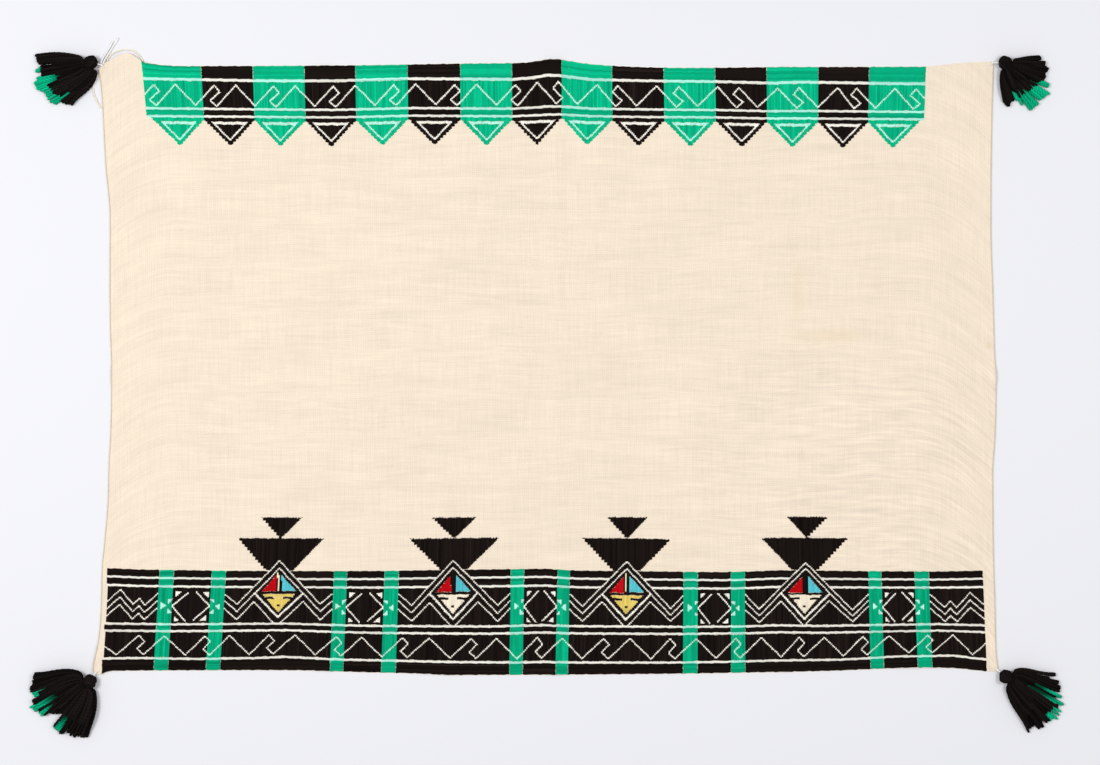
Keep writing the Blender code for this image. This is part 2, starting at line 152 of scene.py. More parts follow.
camera_data = bpy.data.cameras.new("camera")
camera_data.lens = LENS
camera_data.clip_end = 50
camera = bpy.data.objects.new("camera", camera_data)
bpy.context.scene.collection.objects.link(camera)
bpy.context.scene.camera = camera
height = VIEW_WIDE * LENS / camera_data.sensor_width
camera.location = [(c + s) * MM for c, s in zip((*VIEW_MIDDLE, height), SHIFT)]
print("camera height, m:", round(height * MM, 3))

# %% [markdown]
# ## How the cloth lies
# Folding has left three upright creases and a level one. Each is a soft ridge whose height changes along its
# length, and a few edges have stayed swollen. Everything on the cloth stands on this one surface, so the wool
# and the cords follow the creases by themselves.

# %% Creases, swellings and the surface of the cotton
GROUND_THICK = 1.6

# (place, half_width, height_middle, height_start, height_end)
UPRIGHT_CREASES = (
    (12.3, 26, 2.8, 2.4, 6.5),
    (-365.5, 22, 1.6, 1.4, 1.8),
    (390.1, 22, 1.6, 1.2, 1.8),
)
LEVEL_CREASES = (
    (32.9, 22, 1.5, 2.2, 2.0),
)
# (x, y, radius, height)
SWELLINGS = (
    (-688, 552, 52, 5.0),
    (610, -440, 70, 2.6),
    (-738, -432, 44, 2.4),
    (-180, -452, 60, 1.6),
)
RIPPLE = 0.16


def bump(distance, half):
    """1 in the middle, falling softly to 0 at the half width: (1 - t squared) squared."""
    t = np.clip(np.abs(distance) / half, 0.0, 1.0)
    return (1 - t**2) ** 2


def lift(x, y):
    """How far the underside stands off the floor: the highest of the creases and swellings there."""
    total = np.zeros(np.broadcast(x, y).shape)
    for middle, half, amid, start, end in UPRIGHT_CREASES:
        along = smooth_curve(((-470, start), (0, amid), (380, amid), (560, end)), y)
        total = np.maximum(total, along * bump(x - middle, half))
    for middle, half, amid, start, end in LEVEL_CREASES:
        along = smooth_curve(((-750, start), (-500, amid), (500, amid), (750, end)), x)
        total = np.maximum(total, along * bump(y - middle, half))
    for at_x, at_y, radius, rise in SWELLINGS:
        total = np.maximum(total, rise * bump(np.hypot(x - at_x, y - at_y), radius))
    return total


def ripple(x, y):
    """Slack in the weave, never under 0: a product of two slow waves that bend across each other."""
    wave = np.sin(x / 31 + 1.4 * np.sin(y / 83)) * np.sin(y / 37 + 1.2 * np.sin(x / 97))
    return RIPPLE * (1 + wave)


def cotton_top(x, y):
    """Height of the face of the cotton, on which the wool and the cords lie."""
    return lift(x, y) + ripple(x, y) + GROUND_THICK


# %% [markdown]
# ## Helpers that make a mesh
# Two shapes make up nearly everything here: a grid of points, and a tube along a path. Both are worked out
# as whole arrays, and many tubes are made at once. A yarn is two or three strands twisted round each other,
# so the tube's outline has that many lobes, which turn as it goes.

# %% Mesh helpers
UP = np.array([0.0, 0.0, 1.0])


def make_piece(name, points, faces, material, replaces=(), yarn=None):
    """A mesh from points in mm and a list of face arrays, each with one row of corners for a face.

    yarn is (place across, mm along, tone) at each point, for the wool and cord finishes."""
    mesh = bpy.data.meshes.new(name)
    placed = (points + SHIFT) * MM
    mesh.vertices.add(len(placed))
    mesh.vertices.foreach_set("co", placed.astype(np.float32).ravel())
    sizes = np.concatenate([np.full(len(rows), rows.shape[1]) for rows in faces])
    corners = np.concatenate([rows.ravel() for rows in faces])
    mesh.loops.add(len(corners))
    mesh.loops.foreach_set("vertex_index", corners.astype(np.int32))
    mesh.polygons.add(len(sizes))
    mesh.polygons.foreach_set("loop_start", np.append(0, np.cumsum(sizes)[:-1]).astype(np.int32))
    if yarn is not None:
        field = mesh.attributes.new("yarn", "FLOAT_VECTOR", "POINT")
        field.data.foreach_set("vector", yarn.astype(np.float32).ravel())
    mesh.update(calc_edges=True)
    mesh.shade_smooth()
    mesh.set_sharp_from_angle(angle=math.radians(62))
    mesh.materials.append(material)
    piece = bpy.data.objects.new(name, mesh)
    bpy.context.scene.collection.objects.link(piece)
    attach(piece, "root")
    if replaces:
        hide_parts(*replaces)
    print(name, "has", int((sizes - 2).sum()), "triangles")
    return piece


def length_along(paths):
    """Distance from the start of each path to each of its points."""
    steps = np.linalg.norm(np.diff(paths, axis=-2), axis=-1)
    return np.concatenate([np.zeros(steps.shape[:-1] + (1,)), np.cumsum(steps, axis=-1)], axis=-1)


def tubes(paths, radius, sides=8, plies=2, depth=0.14, pitch=11.0, reference=UP, tone=1.0, underside_shade=0.0, seed=0):
    """Tubes round paths of the shape (tube, point, 3).

    A point on a tube is its path's point, plus the radius times cos and sin of the turn along two directions
    square to the path. The radius swells by depth at each ply, and the plies turn once in each pitch. The
    tone is painted darker from the tube's top to its underside, as painted shade, by the share given for it.
    Gives points, faces and the yarn field."""
    count, stations, _ = paths.shape
    along = np.gradient(paths, axis=1)
    along /= np.linalg.norm(along, axis=-1, keepdims=True)
    side = np.cross(along, reference)
    side /= np.linalg.norm(side, axis=-1, keepdims=True)
    up = np.cross(side, along)
    passed = length_along(paths)
    turn = np.arange(sides) * math.tau / sides
    start = np.random.default_rng(seed).uniform(0, 1, count)
    twist = math.tau * (passed / pitch + start[:, None])
    lobes = 1 + depth * np.cos(plies * (turn - twist[:, :, None]))
    out = np.broadcast_to(radius, (count, stations))[:, :, None] * lobes
    points = (paths[:, :, None] + out[..., None]
              * (np.cos(turn)[:, None] * side[:, :, None] + np.sin(turn)[:, None] * up[:, :, None]))
    index = np.arange(count * stations * sides).reshape(count, stations, sides)
    after = np.roll(index, -1, axis=2)
    skin = np.stack([index[:, :-1], index[:, 1:], after[:, 1:], after[:, :-1]], -1).reshape(-1, 4)
    caps = np.concatenate([index[:, 0], index[:, -1, ::-1]])
    across = np.broadcast_to(turn / math.tau, (count, stations, sides))
    run = np.broadcast_to((passed + 50 * start[:, None])[:, :, None], across.shape)
    # Painted shade: the tone is darker towards the tube's underside
    shade = np.broadcast_to(tone, (count, stations))[:, :, None] * (1 - underside_shade * (0.5 - 0.5 * np.sin(turn)))
    return points.reshape(-1, 3), [skin, caps], np.stack([across, run, shade], -1).reshape(-1, 3)


def joined(parts):
    """Several (points, faces, yarn) made one, with the faces' numbers moved along."""
    points = np.concatenate([part[0] for part in parts])
    yarn = np.concatenate([part[2] for part in parts])
    faces = []
    passed = 0
    for part in parts:
        faces += [rows + passed for rows in part[1]]
        passed += len(part[0])
    return points, faces, yarn


def resampled(route, step):
    """A route's points read again at even steps of about step mm on a soft curve through them."""
    route = np.array(route, float)
    passed = length_along(route)
    count = max(int(round(passed[-1] / step)), 2) + 1
    at = np.linspace(0, passed[-1], count)
    return np.stack([smooth_curve(np.stack([passed, route[:, k]], -1), at) for k in range(3)], -1)


# %% [markdown]
# ## Helpers that make a finish
# A finish is a small network of nodes. Two effects are used again and again: the weave of the cotton and the
# twist of a yarn. Each is a node group with named inputs and outputs, so that one correction mends every
# piece. A group puts out a colour and a height. The shader itself stays in the material.

# %% Node helpers
def feed(tree, socket, value):
    """Join a socket to another, or set its value."""
    if isinstance(value, bpy.types.NodeSocket):
        tree.links.new(value, socket)
    else:
        socket.default_value = value


def calculate(tree, operation, *values):
    """A Math node, and its output."""
    node = tree.nodes.new("ShaderNodeMath")
    node.operation = operation
    for socket, value in zip(node.inputs, values):
        feed(tree, socket, value)
    return node.outputs[0]


def blended(tree, share, first, second, way="MIX"):
    """A colour Mix node, and its output."""
    node = tree.nodes.new("ShaderNodeMix")
    node.data_type = "RGBA"
    node.blend_type = way
    feed(tree, node.inputs["Factor"], share)
    feed(tree, node.inputs[6], first)
    feed(tree, node.inputs[7], second)
    return node.outputs[2]


def ranged(tree, value, low, high, to_low=0.0, to_high=1.0, soft=True):
    """A Map Range node from low..high to to_low..to_high, eased at both ends where soft."""
    node = tree.nodes.new("ShaderNodeMapRange")
    node.interpolation_type = "SMOOTHSTEP" if soft else "LINEAR"
    for socket, number in zip(node.inputs[:5], (value, low, high, to_low, to_high)):
        feed(tree, socket, number)
    return node.outputs[0]


def noise(tree, vector, scale, detail=2.0, stretch=None):
    """A Noise texture on a vector, stretched first where stretch gives three scales."""
    if stretch is not None:
        node = tree.nodes.new("ShaderNodeMapping")
        feed(tree, node.inputs["Vector"], vector)
        node.inputs["Scale"].default_value = stretch
        vector = node.outputs[0]
    node = tree.nodes.new("ShaderNodeTexNoise")
    feed(tree, node.inputs["Vector"], vector)
    node.inputs["Scale"].default_value = scale
    node.inputs["Detail"].default_value = detail
    return node.outputs[0]


def object_place(tree):
    """The piece's own coordinates, in metres."""
    return tree.nodes.new("ShaderNodeTexCoord").outputs["Object"]


def varied(tree, bright, pattern, middle, amount):
    """A brightness changed by a pattern: bright + (pattern - middle) * amount."""
    off = calculate(tree, "SUBTRACT", pattern, middle)
    return calculate(tree, "ADD", bright, calculate(tree, "MULTIPLY", off, amount))


def put_out(group, given, result, bright, height):
    """Join a group's outputs: its colour scaled by the brightness, and its height."""
    shades = group.nodes.new("ShaderNodeVectorMath")
    shades.operation = "SCALE"
    group.links.new(given.outputs["Colour"], shades.inputs[0])
    group.links.new(bright, shades.inputs["Scale"])
    group.links.new(shades.outputs[0], result.inputs["Colour"])
    group.links.new(height, result.inputs["Height"])


def new_group(name, inputs, outputs):
    """An empty node group with named sockets, each given as (name, kind, value)."""
    group = bpy.data.node_groups.new(name, "ShaderNodeTree")
    for label, kind, value in inputs:
        socket = group.interface.new_socket(label, in_out="INPUT", socket_type=kind)
        socket.default_value = value
    for label, kind in outputs:
        group.interface.new_socket(label, in_out="OUTPUT", socket_type=kind)
    return group, group.nodes.new("NodeGroupInput"), group.nodes.new("NodeGroupOutput")


FLOAT, COLOUR = "NodeSocketFloat", "NodeSocketColor"


def place_group(tree, group, **values):
    """A group in a material, with this material's own values."""
    node = tree.nodes.new("ShaderNodeGroup")
    node.node_tree = group
    for name, value in values.items():
        feed(tree, node.inputs[name], value)
    return node


def new_finish(name, roughness, sheen=0.0, sheen_tint=(1, 1, 1), specular=0.3):
    """A material with its shader's constant values set, and the shader and the tree."""
    material = bpy.data.materials.new(name)
    material.use_nodes = True
    tree = material.node_tree
    shader = tree.nodes["Principled BSDF"]
    shader.inputs["Roughness"].default_value = roughness
    shader.inputs["Sheen Weight"].default_value = sheen
    shader.inputs["Sheen Roughness"].default_value = 0.5
    shader.inputs["Sheen Tint"].default_value = (*sheen_tint, 1.0)
    shader.inputs["Specular IOR Level"].default_value = specular
    return material, shader, tree


def raise_surface(tree, shader, height, distance, strength=1.0):
    """A Bump node from a height to the shader's normal. distance is in metres."""
    node = tree.nodes.new("ShaderNodeBump")
    node.inputs["Strength"].default_value = strength
    node.inputs["Distance"].default_value = distance
    tree.links.new(height, node.inputs["Height"])
    tree.links.new(node.outputs[0], shader.inputs["Normal"])


# %% [markdown]
# ## The twist of a yarn
# Seen close, a yarn is a row of slanting strands with shadow between them, and loose fibres over the top.
# The group reads the place across and along the yarn from the mesh. A wave of the two together slants
# round the yarn, and fine noise stands for the fibres. The colour is painted darker in the wave's troughs
# and lighter on its crests, as painted shade and highlight between the strands.

# %% Node group: yarn
yarn_group, given, result = new_group(
    "yarn_twist",
    [("Colour", COLOUR, (1, 1, 1, 1)), ("Pitch", FLOAT, 9.0), ("Plies", FLOAT, 2.0), ("Contrast", FLOAT, 0.3),
     ("Fibre", FLOAT, 0.2)],
    [("Colour", COLOUR), ("Height", FLOAT)])
field = yarn_group.nodes.new("ShaderNodeAttribute")
field.attribute_name = "yarn"
split = yarn_group.nodes.new("ShaderNodeSeparateXYZ")
yarn_group.links.new(field.outputs["Vector"], split.inputs[0])
across, along, tone = split.outputs
slant = calculate(yarn_group, "MULTIPLY", calculate(yarn_group, "DIVIDE", along, given.outputs["Pitch"]),
                  given.outputs["Plies"])
slant = calculate(yarn_group, "ADD", slant, calculate(yarn_group, "MULTIPLY", across, given.outputs["Plies"]))
ply = calculate(yarn_group, "SINE", calculate(yarn_group, "MULTIPLY", slant, math.tau))
ply = calculate(yarn_group, "MULTIPLY_ADD", ply, 0.5, 0.5)
fibre = noise(yarn_group, object_place(yarn_group), 1400.0, 3.0)
patch = noise(yarn_group, object_place(yarn_group), 60.0, 2.0)
# Painted shade and highlight: darker between the strands and lighter on them, by Contrast
bright = calculate(yarn_group, "MULTIPLY_ADD", calculate(yarn_group, "SUBTRACT", ply, 0.6),
                   given.outputs["Contrast"], 1.0)
for pattern, amount in ((fibre, given.outputs["Fibre"]), (patch, 0.25)):
    bright = varied(yarn_group, bright, pattern, 0.5, amount)
put_out(yarn_group, given, result, calculate(yarn_group, "MULTIPLY", bright, tone),
        calculate(yarn_group, "MULTIPLY_ADD", fibre, 0.5, ply))
print("yarn group has", len(yarn_group.nodes), "nodes")

# %% [markdown]
# ## The basket weave of the cotton
# The ground is woven two threads over two, in little squares. Squares whose threads run across alternate
# with squares whose threads run up. The group finds the square, draws two rounded threads in it, and lets
# them dive under at its ends. The colour is painted darker between the threads and where they dive, and
# lighter on their tops, as painted shade and highlight. Slow noise first pushes the threads about, because
# a hand loom never beats them quite straight. Stretched noise gives the thick and thin places of the
# thread, and the faint level bars where rows were beaten harder or softer. The rows sag towards the side
# edges: past SAG_FROM metres from the middle, by SAG times the square of the rest. They are most uneven in
# the lower right of the cloth.

# %% Node group: basket weave
SAG_FROM = 0.6
SAG = 4.0
weave_group, given, result = new_group(
    "basket_weave",
    [("Colour", COLOUR, (1, 1, 1, 1)), ("Square", FLOAT, 0.0033), ("Contrast", FLOAT, 0.3)],
    [("Colour", COLOUR), ("Height", FLOAT)])
place = object_place(weave_group)
wander = weave_group.nodes.new("ShaderNodeTexNoise")
weave_group.links.new(place, wander.inputs["Vector"])
wander.inputs["Scale"].default_value = 9.0
wander.inputs["Detail"].default_value = 1.0
pushed = weave_group.nodes.new("ShaderNodeVectorMath")
pushed.operation = "MULTIPLY_ADD"
weave_group.links.new(wander.outputs["Color"], pushed.inputs[0])
pushed.inputs[1].default_value = (0.012, 0.012, 0.0)
weave_group.links.new(place, pushed.inputs[2])
split = weave_group.nodes.new("ShaderNodeSeparateXYZ")
weave_group.links.new(pushed.outputs[0], split.inputs[0])
u = calculate(weave_group, "DIVIDE", split.outputs[0], given.outputs["Square"])
v = calculate(weave_group, "DIVIDE", split.outputs[1], given.outputs["Square"])
squares = calculate(weave_group, "ADD", calculate(weave_group, "FLOOR", u),
                    calculate(weave_group, "FLOOR", v))
runs_up = calculate(weave_group, "FLOORED_MODULO", squares, 2.0)


def arches(tree, value, turn):
    """A row of arches: the sine of the value times the turn, without its sign."""
    return calculate(tree, "ABSOLUTE", calculate(tree, "SINE", calculate(tree, "MULTIPLY", value, turn)))


def woven_threads(tree, across, along):
    """Two rounded threads in a square that are high in its middle and dive at its ends."""
    thread, arch = arches(tree, across, math.tau), arches(tree, along, math.pi)
    return calculate(tree, "MULTIPLY", calculate(tree, "POWER", thread, 0.6),
                     calculate(tree, "MULTIPLY_ADD", arch, 0.5, 0.5))


level_threads = woven_threads(weave_group, v, u)
upright_threads = woven_threads(weave_group, u, v)
mix = weave_group.nodes.new("ShaderNodeMix")
for socket, value in zip(mix.inputs[:1] + mix.inputs[2:4], (runs_up, level_threads, upright_threads)):
    feed(weave_group, socket, value)
threads = mix.outputs[0]
apart = weave_group.nodes.new("ShaderNodeSeparateXYZ")
weave_group.links.new(pushed.outputs[0], apart.inputs[0])
aside = calculate(weave_group, "MAXIMUM", calculate(
    weave_group, "SUBTRACT", calculate(weave_group, "ABSOLUTE", apart.outputs[0]), SAG_FROM), 0.0)
sag = calculate(weave_group, "MULTIPLY", calculate(weave_group, "MULTIPLY", aside, aside), SAG)
rows = weave_group.nodes.new("ShaderNodeCombineXYZ")
weave_group.links.new(apart.outputs[0], rows.inputs[0])
weave_group.links.new(calculate(weave_group, "ADD", apart.outputs[1], sag), rows.inputs[1])
slub = calculate(weave_group, "ADD", noise(weave_group, rows.outputs[0], 1.0, 2.0, (14.0, 420.0, 1.0)),
                 noise(weave_group, place, 1.0, 2.0, (420.0, 14.0, 1.0)))
bars = noise(weave_group, rows.outputs[0], 1.0, 2.0, (6.0, 52.0, 1.0))
ripples = noise(weave_group, rows.outputs[0], 1.0, 2.0, (18.0, 150.0, 1.0))
uneven = calculate(weave_group, "MULTIPLY", ranged(weave_group, apart.outputs[0], 0.10, 0.50, 0.0, 1.0),
                   ranged(weave_group, apart.outputs[1], -0.02, 0.14, 1.0, 0.0))
cloud = noise(weave_group, place, 7.0, 3.0)
# Painted shade and highlight: darker between the threads and where they dive, by Contrast
bright = calculate(weave_group, "MULTIPLY_ADD", calculate(weave_group, "SUBTRACT", threads, 0.62),
                   given.outputs["Contrast"], 1.0)
for pattern, middle, amount in ((slub, 1.0, 0.17),
                                (ripples, 0.5, calculate(weave_group, "MULTIPLY_ADD", uneven, 0.22, 0.10)),
                                (cloud, 0.5, 0.10), (bars, 0.5, 0.14)):
    bright = varied(weave_group, bright, pattern, middle, amount)
put_out(weave_group, given, result, bright, calculate(weave_group, "MULTIPLY_ADD", slub, 0.25, threads))
print("weave group has", len(weave_group.nodes), "nodes")

# %% [markdown]
# ## Wool and cord finishes
# The wools differ in colour alone: black, green, red, turquoise, yellow, cream and undyed. All are matt,
# with the faint sheen that loose fibres give at a glancing angle. The palest ones are smoother, and so are
# the cotton threads that come up between them. Those threads are painted brighter than the cloth's cotton,
# as painted light, and beside green wool they are painted green, as a painted reflection of the wool. The
# cords are undyed cotton, a little whiter than the cloth.

# %% Wool and cord materials
WOOLS = {
    "black": (0.0126, 0.0080, 0.0065),
    "green": (0.002, 0.60, 0.305),
    "red": (0.64, 0.004, 0.009),
    "turquoise": (0.13, 0.70, 0.79),
    "yellow": (1.0, 0.77, 0.185),
    "cream": (1.0, 0.90, 0.60),
    "undyed": (0.98, 0.885, 0.705),
    # Cotton threads: painted brighter than the cloth as painted light, and green as a painted reflection
    "pale": (1.0, 0.965, 0.875),
    "mint": (0.52, 1.0, 0.87),
}


def twist(tree, shader, colour, pitch, contrast, fibre, depth):
    """Join the yarn group to a shader, with this material's own values. depth is in metres."""
    made = place_group(tree, yarn_group, Colour=(*colour, 1.0), Pitch=pitch, Contrast=contrast, Fibre=fibre)
    tree.links.new(made.outputs["Colour"], shader.inputs["Base Color"])
    raise_surface(tree, shader, made.outputs["Height"], depth)


def wool_finish(name, colour, pitch=6.0, contrast=0.30, fibre=0.5, depth=0.0005):
    """Matt wool yarn of one colour."""
    material, shader, tree = new_finish(f"wool_{name}", 0.92, sheen=0.15, sheen_tint=colour, specular=0.06)
    twist(tree, shader, colour, pitch, contrast, fibre, depth)
    return material


WOOL = {name: wool_finish(name, colour) for name, colour in WOOLS.items()}
for name in ("pale", "mint", "undyed", "cream"):
    WOOL[name] = wool_finish(name, WOOLS[name], pitch=3.0, contrast=0.10, fibre=0.2, depth=0.0002)
TASSEL_WOOL = {
    "black": wool_finish("black_tassel", (0.0085, 0.0058, 0.0055), pitch=12.0, contrast=0.5, depth=0.001),
    "green": wool_finish("green_tassel", (0.002, 0.54, 0.27), pitch=12.0, contrast=0.35, depth=0.001),
}

CORD_COTTON, shader, tree = new_finish("cotton_cord", 0.9, specular=0.2)
twist(tree, shader, (0.97, 0.965, 0.94), 5.0, 0.2, 0.2, 0.0004)
EDGE_COTTON = wool_finish("edge_cotton", (1.0, 0.90, 0.74), pitch=5.0, contrast=0.2, fibre=0.2, depth=0.0004)
print("wools:", ", ".join(WOOL))

# %% [markdown]
# ## The four loose cords
# The lashing at the top left corner ends in two free ends that lie on the floor above the cloth. Beside it
# the edge cord has come away from the weave in two low loops. All four are thin twisted cotton, limp, and
# the whole of each can be seen. Their routes are the solids' own, read on a soft curve and given a two-ply
# twist.

# %% Loose cords
# radius, far end, then the route as (x, y, z)
CORDS = {
    "tie_end_long": (1.4, "knot", (
        (-728.8, 543.7, 4.0), (-727.6, 547.2, 4.0), (-725.6, 551.4, 2.7), (-722.2, 557.6, 1.6),
        (-716.8, 566.2, 1.5), (-711.8, 574.4, 1.5), (-707.4, 581.4, 1.5), (-704.0, 587.0, 1.5),
    )),
    "tie_end_short": (1.4, "bare", (
        (-732.1, 544.6, 4.0), (-731.4, 548.2, 4.0), (-729.6, 552.6, 2.7), (-726.4, 558.8, 1.6),
        (-721.4, 566.6, 1.5), (-717.0, 574.2, 1.5), (-713.2, 581.8, 1.5),
    )),
    "edge_cord_top": (1.2, "object", (
        (-722.4, 548.6, 1.5), (-721.6, 551.6, 1.4), (-718.8, 555.8, 1.3), (-713.0, 561.0, 1.3),
        (-704.4, 565.4, 1.3), (-693.6, 567.9, 1.3), (-683.0, 567.0, 1.3), (-674.4, 562.6, 1.3),
        (-667.8, 555.8, 1.3), (-663.6, 549.0, 1.3),
    )),
    "edge_cord_left": (1.2, "object", (
        (-736.7, 527.8, 1.3), (-740.8, 521.0, 1.3), (-744.2, 512.6, 1.3), (-745.6, 503.6, 1.3),
        (-744.2, 495.2, 1.3), (-740.8, 486.6, 1.3), (-736.4, 478.4, 1.3), (-733.2, 471.6, 1.3),
    )),
}
CORD_STEP = 0.9
CORD_LAY = 0.98

for seed, (name, (radius, far_end, route)) in enumerate(CORDS.items()):
    path = resampled(route, CORD_STEP)
    points, faces, yarn = tubes(path[None], radius * CORD_LAY, sides=12, plies=2, depth=0.16, pitch=6.0,
                                seed=seed)
    cotton = EDGE_COTTON if name.startswith("edge") else CORD_COTTON
    piece = make_piece(f"{name}_cord", points, faces, cotton, (name,), yarn)

# %% [markdown]
# ## The cotton cloth
# The cloth is one thin sheet: a grid blended between the four edges, laid on the creases, with a back and a
# rim. The tables of the embroidery come first. Most of their places were found by scripts on a photograph of
# one cloth, so they are as uneven as its own counting was, and each diamond has a row of its own.

# %% The two borders' layout, in mm
# Down is measured from each border's upper line, across is the cloth's own x at the middle of the border.
# Bands as (from, to, way): yarns in an upright band run up the cloth, in a level one along it.
TOP_BANDS = (
    (0.4, 21.5, "level"),
    (25.9, 68.7, "upright"),
    (72.4, 80.8, "level"),
    (84.5, 131.0, "upright"),
)
BOTTOM_BANDS = (
    (0.6, 12.1, "level"),
    (15.5, 25.7, "level"),
    (29.1, 88.0, "upright"),
    (91.4, 99.0, "level"),
    (102.4, 144.7, "upright"),
    (148.1, 164.7, "level"),
)
TOP_LINE = 540.4
BOTTOM_LINE = -286.3
TOP_MIDDLE = 42.0
BOTTOM_MIDDLE = 83.0
BOTTOM_DEEP = 165.2

# Blocks of the top border: where each begins, and the last one's end. Every second one is black.
TOP_BLOCKS = (
    -661.5, -565.9, -482.1, -397.8, -314.6, -228.7, -142.7, -57.5, 23.8, 106.8, 191.7, 276.4, 360.5, 445.0,
    527.8, 620.4,
)
# How far the pennants of the first and last block stay inside those blocks' outer ends
EAR = 9.5

# Green stripes of the bottom border, in pairs: the sides of the left one, then of the right one
STRIPE_PAIRS = (
    (-641.3, -617.6, -555.4, -532.1),
    (-353.4, -331.5, -269.8, -246.1),
    (-61.0, -38.8, 15.2, 35.6),
    (223.2, 247.1, 301.8, 325.1),
    (529.0, 551.0, 605.3, 629.2),
)
BOTTOM_ENDS = (-726.5, 718.4)
# How far the upright yarns stop short of the left end
UPRIGHT_SHORT = 2.3
# Diamonds between the pairs: (middle, wool of the lower half, wool of the upright bar, how far the coloured
# parts lie to the right and how far they lie down)
DIAMONDS = (
    (-439.4, "yellow", "cream", -0.4, -1.0),
    (-154.4, "undyed", "black", 1.4, 0.4),
    (131.1, "yellow", "cream", 0.5, -0.2),
    (424.6, "undyed", "black", -0.2, 0.9),
)
# The zigzags round each diamond, from its middle: (left turn, right turn, then the depth of the outer line,
# of the inner one and of the lowest at the left turn, at the point and at the right turn)
ZIGZAGS = (
    (-69.9, 66.7, (56.2, -16.4, 55.4), (68.4, -4.2, 67.8), (82.2, 81.8)),
    (-67.9, 73.1, (56.4, -14.6, 57.2), (68.4, -3.2, 69.6), (81.8, 81.8)),
    (-72.8, 71.5, (57.8, -15.0, 60.2), (69.4, -3.4, 70.8), (81.8, 80.4)),
    (-76.6, 76.8, (62.6, -12.2, 64.4), (73.2, -3.0, 74.5), (83.8, 83.4)),
)
# Where those lines meet the stripes on the left and right: depths of the outer, inner and lowest
MEETINGS = (
    ((37.6, 49.1, 62.4), (38.7, 50.2, 63.1)),
    ((36.6, 48.1, 61.4), (38.7, 50.2, 62.4)),
    ((37.6, 49.1, 62.4), (39.2, 50.2, 62.0)),
    ((37.6, 49.1, 62.4), (36.9, 46.9, 57.0)),
)
# The lowest line under each diamond: (left peak, its depth, left foot, right foot, right peak, its depth)
UNDER = (
    (-42.0, 52.0, -10.2, 0.8, 38.5, 51.4),
    (-38.8, 52.0, -4.4, 2.4, 41.0, 51.4),
    (-41.4, 49.8, -5.6, 0.6, 38.5, 49.8),
    (-40.4, 50.6, -4.5, -1.0, 38.0, 48.8),
)
# Bold sides of the lower half: (left, bottom, right) from the middle
BOLD_SIDES = ((-39.8, -3.0, 37.0), (-37.6, -0.2, 38.6), (-39.8, -2.2, 37.6), (-39.8, -2.2, 37.4))
# The small and the large step over each diamond, from its middle: small (left, right, point, top), then large
# (left, right, left foot, right foot, top)
STEPS = (
    ((-29.8, 36.8, 1.5, -87.2), (-68.2, 72.9, -21.6, 20.6, -53.2)),
    ((-35.0, 38.6, 1.5, -85.6), (-71.8, 75.7, -20.0, 22.4, -51.6)),
    ((-32.8, 34.0, 0.1, -88.1), (-73.4, 71.8, -22.4, 20.2, -53.2)),
    ((-31.2, 35.5, 1.8, -87.8), (-72.6, 69.0, -21.6, 17.4, -53.2)),
)

# How the hand-beaten rows rise above their straight line, as (x, rise) at a few depths. Nearly all these rows
# are a script's readings of the pale lines in the photograph.
TOP_RISE = {
    23.7: (
        (-664, 3.3), (-567, 1.8), (-482, 0.0), (-354, -0.5), (-226, 3.4), (-140, 2.8), (-55, 2.2),
        (-22, 5.0), (-2, 8.6), (30, 6.9), (73, 1.8), (158, 0.0), (287, -1.6), (372, -4.3), (415, -2.3),
        (586, -5.1), (620, -5.1),
    ),
    82.6: (
        (-664, 1.2), (-567, 0.3), (-482, -0.3), (-354, -1.6), (-226, 1.5), (-140, 1.0), (-55, 0.6),
        (-2, 2.8), (30, 3.1), (73, 0.7), (158, -0.6), (287, -1.5), (372, -3.3), (415, -3.0), (620, -4.4),
    ),
}
BOTTOM_RISE = {
    14.0: (
        (-715, 3.1), (-668, 1.0), (-597, 0.0), (-525, -1.1), (-357, -1.6), (-264, -1.3), (-191, 0.0),
        (-1, 2.3), (47, -0.7), (213, -2.5), (285, -3.3), (333, -2.3), (380, -0.2), (523, -1.6), (641, -2.3),
        (714, -0.8),
    ),
    95.0: (
        (-715, 1.1), (-620, 0.0), (-430, 1.5), (-334, -1.5), (-287, -2.6), (-191, -3.3), (-96, -3.9),
        (-1, -1.5), (47, -3.3), (213, -4.3), (333, -3.3), (380, -1.5), (451, -2.8), (523, -1.3), (641, 0.5),
        (714, -1.6),
    ),
    146.4: (
        (-715, 1.0), (-668, 1.5), (-572, 0.0), (-477, 1.5), (-430, 3.6), (-334, -1.3), (-239, -3.1),
        (-144, -5.1), (-48, -5.9), (-1, -4.6), (47, -5.9), (190, -6.1), (285, -5.1), (380, -2.5), (475, -1.5),
        (523, 0.8), (571, 4.4), (666, 5.7), (714, -0.3),
    ),
}
# How far the upright yarns lean for each mm down, as (x, lean)
TOP_LEAN = (
    (-664, 0.098), (-566, 0.060), (-500, 0.044), (-440, 0.026), (0, 0.0), (150, 0.014), (330, 0.014),
    (440, -0.004), (620, -0.035),
)
BOTTOM_LEAN = (
    (-727, -0.055), (-640, -0.062), (-540, -0.060), (-300, -0.037), (-50, -0.015), (26, -0.022), (275, 0.0),
    (540, 0.025), (620, 0.032), (717, 0.042),
)


def edge_rise(name, line):
    """The rise of the cloth's own edge above a straight line, as (x, rise) rows."""
    points = edge(name, np.linspace(0, 1, 240))
    order = np.argsort(points[:, 0])
    return np.stack([points[order, 0], points[order, 1] - line], -1)


